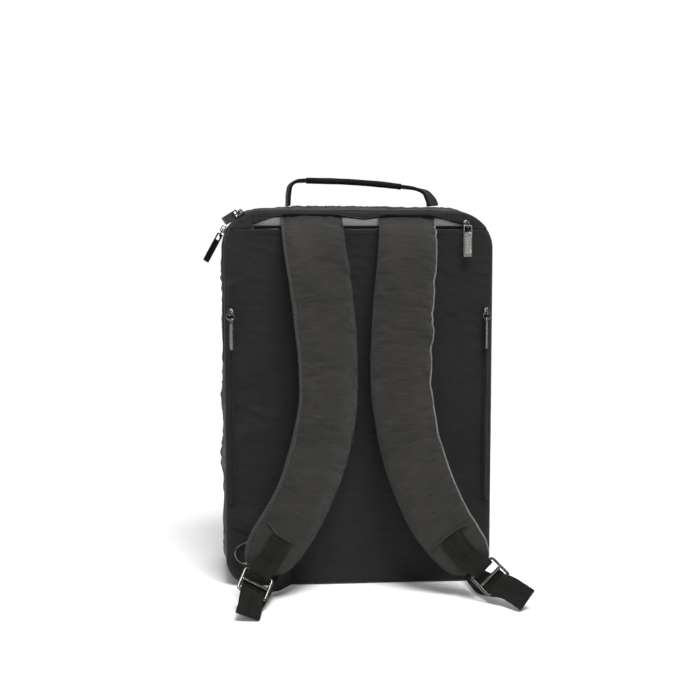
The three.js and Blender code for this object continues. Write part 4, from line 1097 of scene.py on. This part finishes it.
# %% Strap tables
# up, side, off, wide, thick, turn
STRAP_ROWS = {
    "left": [
        (0.991, -0.35, -0.057, 0.94, 0.36, 0),
        (0.981, -0.35, -0.03, 0.95, 0.36, 0),
        (0.963, -0.348, 0.04, 0.95, 0.38, 2),
        (0.934, -0.342, 0.085, 0.96, 0.75, 7),
        (0.896, -0.332, 0.115, 0.98, 1, 13),
        (0.83, -0.304, 0.14, 1.02, 1, 19),
        (0.76, -0.283, 0.155, 1.03, 1, 22),
        (0.69, -0.262, 0.175, 1.04, 1, 24),
        (0.6, -0.247, 0.2, 1.02, 1, 26),
        (0.5, -0.25, 0.235, 1.02, 1, 27),
        (0.42, -0.288, 0.265, 1.04, 1, 27),
        (0.345, -0.346, 0.3, 1.03, 1, 27),
        (0.27, -0.425, 0.345, 0.99, 1, 26),
        (0.2, -0.535, 0.395, 0.96, 1, 23),
        (0.15, -0.632, 0.43, 0.92, 1, 19),
        (0.118, -0.688, 0.448, 0.81, 0.9, 16),
        (0.096, -0.722, 0.457, 0.64, 0.7, 14),
        (0.086, -0.735, 0.46, 0.48, 0.5, 14),
    ],
    "right": [
        (0.987, 0.355, -0.057, 0.9, 0.36, 0),
        (0.977, 0.355, -0.03, 0.9, 0.36, 0),
        (0.96, 0.352, 0.04, 0.91, 0.38, 0),
        (0.934, 0.348, 0.085, 0.91, 0.75, 0),
        (0.896, 0.342, 0.115, 0.92, 1, -2),
        (0.83, 0.329, 0.14, 0.93, 1, -4),
        (0.76, 0.312, 0.155, 0.94, 1, -6),
        (0.69, 0.305, 0.175, 0.97, 1, -6),
        (0.6, 0.29, 0.2, 0.95, 1, -6),
        (0.5, 0.3, 0.235, 0.95, 1, -6),
        (0.42, 0.338, 0.265, 0.95, 1, -6),
        (0.345, 0.39, 0.3, 0.95, 1, -6),
        (0.27, 0.466, 0.345, 0.94, 1, -8),
        (0.2, 0.56, 0.4, 0.93, 1, -10),
        (0.15, 0.66, 0.43, 0.88, 1, -12),
        (0.115, 0.74, 0.455, 0.8, 0.9, -12),
        (0.093, 0.793, 0.468, 0.62, 0.7, -12),
        (0.083, 0.815, 0.473, 0.46, 0.5, -12),
    ],
}


def strap_frames(word, shares):
    """Middle, tangent, side, facing, width and thickness at shares of a strap's table."""
    rows = np.array(STRAP_ROWS[word], float)
    points = np.stack([rows[:, 1] * HALF_W, -HALF_D - rows[:, 2] * DEPTH, rows[:, 0] * HEIGHT], 1)
    fine, slopes = curve(points, 4001)
    at = np.linspace(0, 1, 4001)
    p = np.stack([np.interp(shares, at, fine[:, k]) for k in range(3)], 1)
    d = np.stack([np.interp(shares, at, slopes[:, k]) for k in range(3)], 1)
    d = d / np.linalg.norm(d, axis=1)[:, None]
    wide, thick, turn = table(np.column_stack([np.linspace(0, 1, len(rows)), rows[:, 3:]]), shares)
    turn = np.radians(turn)
    facing = np.stack([np.sin(turn), -np.cos(turn), 0 * turn], 1)
    side = np.cross(facing, d)
    side = side / np.linalg.norm(side, axis=1)[:, None]
    side = side * np.where(side[:, :1] < 0, -1, 1)
    out = np.cross(side, d)
    out = out / np.linalg.norm(out, axis=1)[:, None]
    out = out * np.where(out[:, 1:2] > 0, -1, 1)
    return p, d, side, out, wide * STRAP_W, thick * STRAP_T


print("strap rows:", {word: len(rows) for word, rows in STRAP_ROWS.items()})

# %% [markdown]
# The pad's cloth is pulled over foam and sewn down along both edges. A cloth simulation does the
# same: the sewn edges are pinned, air presses from inside, and the cloth swells and wrinkles a
# little. What it moves is held to a few millimetres, so that the strap keeps its measured shape.

# %% Padding
PAD_SHRINK, PAD_ROWS, PAD_COLUMNS = -0.015, 300, 44
# The cloth may move by PAD_HOLD, and the top is crowned by PAD_CROWN, up to where the tab begins
PAD_HOLD, HOLD_TO, HOLD_FADE = 2.0, 0.735, 0.05
PAD_CROWN, CROWN_TO, CROWN_FADE = 2.8, 0.74, 0.06


def swell_pad(piece, pinned, cap, push=4.0, frames=20):
    """Runs the cloth with pressure and no gravity, reads where it went, and moves the mesh there,
    each point by no more than its own cap, in millimetres."""
    group = piece.vertex_groups.new(name="sewn")
    group.add([int(k) for k in pinned], 1.0, "REPLACE")
    cloth = piece.modifiers.new("padding", "CLOTH")
    cloth.settings.vertex_group_mass = "sewn"
    cloth.settings.use_pressure = True
    cloth.settings.uniform_pressure_force = push
    cloth.settings.shrink_min = PAD_SHRINK
    cloth.settings.effector_weights.gravity = 0
    cloth.point_cache.frame_end = frames
    for number in range(1, frames + 1):
        bpy.context.scene.frame_set(number)
    shape = piece.evaluated_get(bpy.context.evaluated_depsgraph_get()).data
    count = len(piece.data.vertices)
    new, old = np.empty(count * 3), np.empty(count * 3)
    shape.vertices.foreach_get("co", new)
    piece.data.vertices.foreach_get("co", old)
    move = (new - old).reshape(-1, 3)
    size = np.linalg.norm(move, axis=1)[:, None]
    move = move * np.minimum(1, cap[:, None] * MM / np.maximum(size, 1e-9))
    piece.modifiers.remove(cloth)
    piece.vertex_groups.remove(group)
    piece.data.vertices.foreach_set("co", (old.reshape(-1, 3) + move).ravel())
    piece.data.update()
    bpy.context.scene.frame_set(1)
    print(f"{piece.name}: cloth moved by up to {size.max() * 1000:.1f} mm, held to {cap.max():.1f} mm")


# Puckers along a strap's sewn edge: side, share of the way, reach, depth
PUCKERS = {
    "left": [
        (1, 0.3, 0.012, 0.8), (1, 0.48, 0.015, 0.7), (-1, 0.36, 0.02, 0.7), (-1, 0.62, 0.02, 0.8),
        (1, 0.7, 0.02, 1.0),
    ],
    "right": [
        (1, 0.12, 0.014, 1.5), (1, 0.17, 0.01, 1.0), (1, 0.3, 0.012, 1.2), (1, 0.375, 0.01, 1.3),
        (1, 0.395, 0.008, 1.1), (1, 0.44, 0.012, 1.4), (1, 0.5, 0.012, 1.2), (1, 0.6, 0.02, 0.9),
        (-1, 0.55, 0.02, 0.8),
    ],
}


def pad_shape(word, rows=PAD_ROWS, columns=PAD_COLUMNS):
    """Rings of a pad: a crowned top, round shoulders, and a flat underside on the mesh."""
    shares = np.linspace(0, 1, rows)
    p, d, side, out, wide, thick = strap_frames(word, shares)
    a = np.linspace(0, np.pi, columns)
    c, s = np.cos(a), np.sin(a)
    across = np.sign(c) * np.abs(c) ** 0.42
    high = np.abs(s) ** 0.5 * (0.9 + 0.1 * np.abs(s))
    way = np.cumsum(np.r_[0, np.linalg.norm(np.diff(p, axis=0), axis=1)])
    dip = 0
    for sign, at, reach, deep in PUCKERS[word]:
        lean = shares[:, None] - at + 0.03 * (sign - across[None]) * sign
        dip = dip + 1.6 * deep * knoll(lean, reach) * knoll(across[None] - sign, 0.3)
    small = 0.3 * ripple(way[:, None], across[None] * 6, 13, 61) * np.abs(across[None]) ** 3
    broad = 0.35 * ripple(way[:, None], across[None] * 30, 70, 62)
    slant = 0.28 * ripple(way[:, None] + across[None] * 22, across[None] * 9, 16, 66)
    depth = (1 - MESH_SHARE) * thick[:, None]
    split = (0.5 - (1 - MESH_SHARE)) * thick[:, None] + CLEAR / 2
    full = np.minimum(depth / 3, 1)
    flat_end = 1 - ease((shares - CROWN_TO) / CROWN_FADE)[:, None]
    crown = PAD_CROWN * np.abs(s)[None] ** 1.8 * np.minimum(thick[:, None] / STRAP_T, 1) * flat_end
    uneven = (small + broad + slant - dip) * (s[None] ** 0.5) * full
    top = split + high[None] * (depth - CLEAR / 2) + crown + uneven
    flat = np.linspace(-1, 1, 10)[1:-1]
    x = np.concatenate([across[None] * wide[:, None] / 2, flat[None] * wide[:, None] / 2], 1)
    y = np.concatenate([top, np.broadcast_to(split, (rows, 8))], 1)
    profile = np.stack([x, y], 2)
    return sweep(p, side, out, profile)


for word in ("left", "right"):
    rings = pad_shape(word)
    rows, columns = rings.shape[:2]
    pad = settle(
        f"strap_pad_{word}_cloth",
        [net(rings, columns_meet=True, caps=True)],
        lit_strap_nylon,
        "strap_cloth",
        f"strap_pad_{word}",
        fill=0.7,
    )
    number = np.arange(rows * columns).reshape(rows, columns)
    sewn = [number[:, :3], number[:, PAD_COLUMNS - 3 :], number[:4], number[-3:]]
    sewn = np.unique(np.concatenate([part.ravel() for part in sewn]))
    free = PAD_HOLD * (1 - ease((np.linspace(0, 1, rows) - HOLD_TO) / HOLD_FADE))
    cap = np.zeros(len(pad.data.vertices))
    cap[: rows * columns] = np.repeat(free, columns)
    swell_pad(pad, sewn, cap)

# %% [markdown]
# The mesh at the back is a box-shaped knit that stands as a wall along the strap's edge, and a
# thin welt of folded twill covers the join. The right strap's outer welt is rolled up, and its paler
# twill is a painted highlight for the light it catches. The left strap's has a knitted piping. A
# rolled seam crosses above each tab.

# %% Mesh backs and welts
# share of the way, and place across, from edge to edge
SEAM_ROWS = {
    "left": [(0.79, -0.8), (0.802, -0.3), (0.8, 0.1), (0.797, 0.6)],
    "right": [(0.806, -0.75), (0.803, -0.4), (0.8, 0.35), (0.812, 0.88)],
}
# width, height
WELTS = {"welt": (1.5, 2.4), "rolled_edge": (2.0, 2.4), "piping": (3.6, 3.4)}
WELT_KINDS = {("left", -1): "piping", ("left", 1): "welt", ("right", -1): "welt", ("right", 1): "rolled_edge"}
WELT_FINISHES = {
    "welt": (lit_strap_nylon, "strap_cloth"),
    "rolled_edge": (painted_highlight_nylon, "strap_cloth"),
    "piping": (piping_knit, "strap_mesh"),
}
for word in ("left", "right"):
    p, d, side, out, wide, thick = strap_frames(word, np.linspace(0, 1, 260))
    split = (0.5 - (1 - MESH_SHARE)) * thick - CLEAR / 2
    depth = MESH_SHARE * thick - CLEAR / 2
    a = np.linspace(0, -np.pi, 30)
    across = np.sign(np.cos(a)) * np.abs(np.cos(a)) ** 0.3
    low = -(np.abs(np.sin(a)) ** 0.4)
    flat = np.linspace(-1, 1, 10)[1:-1]
    x = np.concatenate([across[None] * wide[:, None] / 2, flat[None] * wide[:, None] / 2], 1)
    y = np.concatenate([split[:, None] + low[None] * depth[:, None], np.repeat(split[:, None], 8, 1)], 1)
    rings = sweep(p, side, out, np.stack([x, y], 2))
    settle(
        f"strap_mesh_{word}_knit",
        [net(rings, columns_meet=True, caps=True)],
        mesh_knit,
        "strap_mesh",
        f"strap_mesh_{word}",
        fill=0.7,
    )
    welts = {"welt": []}
    shares = np.linspace(0, 1, 260)
    way = np.cumsum(np.r_[0, np.linalg.norm(np.diff(p, axis=0), axis=1)])
    for sign in (-1, 1):
        wander = 0.3 * ripple(way, 0, 17, 63 + sign)
        gathers = [row[1:] for row in PUCKERS[word] if row[0] == sign]
        pull = sum(deep * knoll(shares - at, reach) for at, reach, deep in gathers)
        lift = split + 0.8 + wander + 0.9 * pull
        line = p + side * (sign * (wide / 2 + 0.1 - 1.3 * pull))[:, None] + out * lift[:, None]
        kind = WELT_KINDS[word, sign]
        rings = sweep(line[8:-2], side[8:-2], out[8:-2], band(*WELTS[kind], 12, 2.4))
        welts.setdefault(kind, []).append(net(rings, columns_meet=True, caps=True))
    at, across = np.array(SEAM_ROWS[word]).T
    spots = np.linspace(0, len(at) - 1, 60)
    at, across = np.interp(spots, range(len(at)), at), np.interp(spots, range(len(across)), across)
    p, d, side, out, wide, thick = strap_frames(word, at)
    line = p + side * (across * wide / 2)[:, None] + out * (thick / 2 + 0.5 + 0.9 * (1 - across**2))[:, None]
    line, ahead = curve(line[::6], 60)
    lie = square(d, ahead)
    face = np.cross(lie, ahead)
    face = face * np.where(np.sum(face * out, 1)[:, None] < 0, -1, 1)
    rings = sweep(line, lie, face, band(2.2, 2.0, 10, 2.2))
    welts["welt"].append(net(rings, columns_meet=True, caps=True))
    for kind, nets in welts.items():
        settle(f"strap_{kind}_{word}", nets, *WELT_FINISHES[kind])

# %% [markdown]
# ## Tabs, buckles and webbing
# A short webbing tab is sewn on each pad's end and folds around the first bar of a metal slider.
# The long webbing comes from the bag's lower seam, lies on the floor in a loop, and comes back
# over the slider's last bar and up behind its middle one, which stays bare.


# %% Bands of webbing
def route(points, sides, count):
    """Path through points with a width direction at each, kept square to the path."""
    places, ahead = curve(points, count)
    spot = np.linspace(0, len(points) - 1, count)
    i = np.minimum(spot.astype(int), len(points) - 2)
    share = (spot - i)[:, None]
    given = np.array(sides, float)
    side = square(given[i] * (1 - share) + given[i + 1] * share, ahead)
    return places, side, np.cross(side, ahead)


def webbing(places, side, out, width=WEBBING_W, thick=WEBBING_T, seed=71):
    """A flat band along a route, with its edges a little uneven."""
    way = np.cumsum(np.r_[0, np.linalg.norm(np.diff(places, axis=0), axis=1)])
    uneven = 1 + 0.012 * ripple(way, 0, 15, seed)
    profile = band(width, thick * 0.94, 28, 6)[None] * np.stack([uneven, 1 + 0 * uneven], 1)[:, None]
    return net(sweep(places, side, out, profile), columns_meet=True, caps=True)


BUCKLE_W, BUCKLE_L, BUCKLE_T, BUCKLE_BAR = 34.0, 28.0, 2.0, 3.2
# side, off, up, then the directions of its bars and of its hang
BUCKLE_ROWS = {
    "left": ((-0.779, 0.64, 0.066), (0.88, 0, -0.47), (-0.35, -0.66, -0.6)),
    "right": ((0.893, 0.6, 0.068), (0.7, 0, 0.71), (0.62, -0.4, -0.6)),
}
# side, off, up, then the direction of the width
WEBBING_ROWS = {
    "left": [
        (-0.5, 0.012, 0.036, 0.1, 0, 1),
        (-0.585, 0.2, 0.036, 0.2, 0, 1),
        (-0.72, 0.44, 0.028, 0.8, 0, 0.3),
        (-0.805, 0.72, 0.025, 0.905, -0.02, -0.42),
        (-0.828, 0.93, 0.019, 0.93, 0, -0.36),
        (-0.81, 0.8, 0.043, 0.91, 0, -0.4),
    ],
    "right": [
        (0.82, 0.012, 0.037, 0.05, 0, 1),
        (0.83, 0.2, 0.036, 0.1, 0, 1),
        (0.875, 0.44, 0.036, 0.4, 0, 0.9),
        (1.01, 0.672, 0.043, 0.58, 0.1, 0.81),
        (1.1, 0.84, 0.031, 0.6, 0.1, 0.79),
        (0.987, 0.7, 0.05, 0.58, 0.1, 0.81),
    ],
}


def bag_point(side, off, up):
    """A place from shares of the bag's half width, depth and height."""
    return np.array([side * HALF_W, -HALF_D - off * DEPTH, up * HEIGHT])


def half_turn(radius):
    """Half a circle: its cosines ahead and its sines from up to down."""
    a = np.linspace(np.pi / 2, -np.pi / 2, 5)
    return np.stack([radius * np.cos(a), radius * np.sin(a)], 1)


def turn_back(low, tip, high, lie, radius=2.4):
    """The far fold: half a circle from the lower layer to the upper, ahead of the tip's row."""
    ahead = square(tip - low, lie)
    up = np.cross(lie, ahead)
    up = up * (1 if up @ (high - low) > 0 else -1)
    turn = half_turn(radius)[::-1]
    return tip + turn[:, :1] * ahead + turn[:, 1:] * up


print("webbing rows:", {word: len(rows) for word, rows in WEBBING_ROWS.items()})

# %% Straps' ends
# share of the strap, lift off the pad
TAB_ROWS = np.array([(0.808, 0.2), (0.85, 0.7), (0.89, 1.4)])
LOOP_COUNT = 96
for word in ("left", "right"):
    spot, bars, given = BUCKLE_ROWS[word]
    bars = unit(*bars)
    hangs = square(np.array(given), bars)
    out = np.cross(bars, -hangs)
    middle = bag_point(*spot)
    frame_loop = rounded_path(BUCKLE_W - BUCKLE_BAR, BUCKLE_L - BUCKLE_BAR, 2.2, LOOP_COUNT)
    level = np.zeros((LOOP_COUNT, 1))
    loop = np.concatenate([frame_loop[:, :2], level], 1)
    outward = np.concatenate([frame_loop[:, 2:], level], 1)
    up = np.tile([0, 0, 1.0], (LOOP_COUNT, 1))
    rings = sweep(loop, outward, up, band(BUCKLE_BAR, BUCKLE_T, 16, 2.6))
    frame_net = net(rings, rows_meet=True, columns_meet=True)
    x = np.linspace(-BUCKLE_W / 2 + BUCKLE_BAR / 2, BUCKLE_W / 2 - BUCKLE_BAR / 2, 20)
    bar = bar_net(np.stack([x, 0 * x, 0 * x], 1), [0, 1.0, 0], BUCKLE_BAR, BUCKLE_T, 2.6)
    parts = [moved(part, (bars, -hangs, out), middle) for part in (frame_net, bar)]
    settle(f"strap_buckle_{word}_metal", parts, buckle_metal, "nickel", f"strap_buckle_{word}")

    first = middle - hangs * (BUCKLE_L - BUCKLE_BAR) / 2
    lift = WEBBING_T / 2 + 2 * CLEAR
    wrap = math.hypot(BUCKLE_BAR, BUCKLE_T) / 2 + lift
    p, _, side, face, _, thick = strap_frames(word, TAB_ROWS[:, 0])
    lifts = thick / 2 + lift + TAB_ROWS[:, 1]
    on_pad = p + face * lifts[:, None]
    turn = half_turn(wrap)
    fold = first + turn[:, :1] * hangs + turn[:, 1:] * out
    tab_points = np.concatenate([on_pad, fold])
    tab_sides = np.concatenate([side, np.tile(bars, (5, 1))])
    tab = webbing(*route(tab_points, tab_sides, 150))
    settle(f"strap_tab_{word}_weave", [tab], webbing_weave, "webbing", f"strap_tab_{word}")

    rows = np.array(WEBBING_ROWS[word])
    points = np.array([bag_point(*row[:3]) for row in rows])
    lies = [unit(*row[3:]) for row in rows]
    last = middle + hangs * (BUCKLE_L - BUCKLE_BAR) / 2
    fold = last - turn[:, :1] * hangs + turn[:, 1:] * out
    bend = turn_back(points[3], points[4], points[5], lies[4])
    points = np.concatenate([points[:4], bend, points[5:], fold, [middle - out * wrap]])
    lies = lies[:4] + [lies[4]] * 5 + lies[5:] + [bars] * 6
    length = webbing(*route(points, lies, 420), seed=72)
    settle(f"strap_webbing_{word}_weave", [length], webbing_weave, "webbing", f"strap_webbing_{word}")

# %% [markdown]
# ## The ring at the lower left
# A D-shaped ring is held by a short folded tab under the left strap. Only its bow shows.

# %% D-ring and its tab
D_H, D_W, D_WIRE, D_LIFT = 27.0, 20.0, 2.3, 0.7
D_Z, D_IN, D_TAB_W, D_REACH = 38.0, 28.0, 15.0, 7.6
x = -HALF_W + D_IN
wrap = D_WIRE / 2 + CLEAR + WEBBING_T / 2
y = -HALF_D - D_LIFT - WEBBING_T / 2 - wrap
half = D_H / 2 - D_WIRE / 2
a = np.linspace(-np.pi / 2, np.pi / 2, 40)
bow = np.stack([x - D_WIRE - (D_W - 2 * D_WIRE) * np.cos(a), y + 0 * a, D_Z + half * np.sin(a)], 1)
z = np.linspace(half * 0.93, -half * 0.93, 14)
bar = np.stack([x + 0 * z, y + 0 * z, D_Z + z], 1)
ring = wire_net(np.concatenate([bow, bar]), (0, 1, 0), D_WIRE / 2, 12)
settle("d_ring_left_metal", [ring], buckle_metal, "nickel", "d_ring_left")
turn = half_turn(wrap)
ends = np.array([[-D_REACH, wrap], [-D_REACH / 2, wrap]])
ways = np.concatenate([ends, turn, (ends * [1, -1])[::-1]])
points = np.stack([x - ways[:, 0], y + ways[:, 1], D_Z + 0 * ways[:, 0]], 1)
places, side, out = route(points, np.tile([0, 0, 1.0], (len(points), 1)), 90)
settle("d_ring_tab_weave", [webbing(places, side, out, D_TAB_W)], webbing_weave, "webbing", "d_ring_tab")

# %% [markdown]
# ## The handle
# The handle is one length of webbing. Its middle is folded and sewn into a narrow grip, and its
# two legs stay flat. The left leg stands edge on to the camera, and the right one is twisted.

# %% Handle
HANDLE_RISE = 29.0
# at, rise, twist
HANDLE_ROWS = np.array([
    (-0.515, 0.025, -5), (-0.513, 0.2, -5), (-0.51, 0.48, -6), (-0.495, 0.8, -6),
    (-0.45, 0.96, -4), (-0.375, 1, 0), (-0.08, 0.963, 0), (0.19, 0.87, 0),
    (0.36, 0.778, 4), (0.47, 0.7, 16), (0.55, 0.54, 28),
    (0.594, 0.26, 33), (0.606, 0.1, 34), (0.608, 0.03, 34),
])
at, rise, twist = HANDLE_ROWS.T
twist = np.radians(twist)
points = np.stack([at * HALF_W, 0 * twist, HEIGHT + TOP_CROWN + rise * HANDLE_RISE], 1)
sides = np.stack([np.sin(twist), np.cos(twist), 0 * twist], 1)
for word, part in (("left", slice(0, 6)), ("right", slice(8, 14))):
    leg = webbing(*route(points[part], sides[part], 120), HANDLE_W, HANDLE_T, seed=73)
    settle(f"handle_leg_{word}_weave", [leg], handle_weave, "webbing", f"handle_leg_{word}")
grip_points = points[5:9].copy()
grip_points[[0, -1], 0] += [CLEAR, -CLEAR]
places, side, out = route(grip_points, sides[5:9], 220)
profile = band(GRIP_W, GRIP_T, 30, 2.8)
way = np.linspace(0, 1, 220)[:, None]
lap = 1 + 0.03 * ripple(way * 108, 0, 22, 74)
rings = sweep(places, side, out, profile[None] * lap[..., None])
grip = net(rings, columns_meet=True, caps=True)
settle("handle_grip_weave", [grip], handle_weave, "webbing", "handle_grip", fill=0.8)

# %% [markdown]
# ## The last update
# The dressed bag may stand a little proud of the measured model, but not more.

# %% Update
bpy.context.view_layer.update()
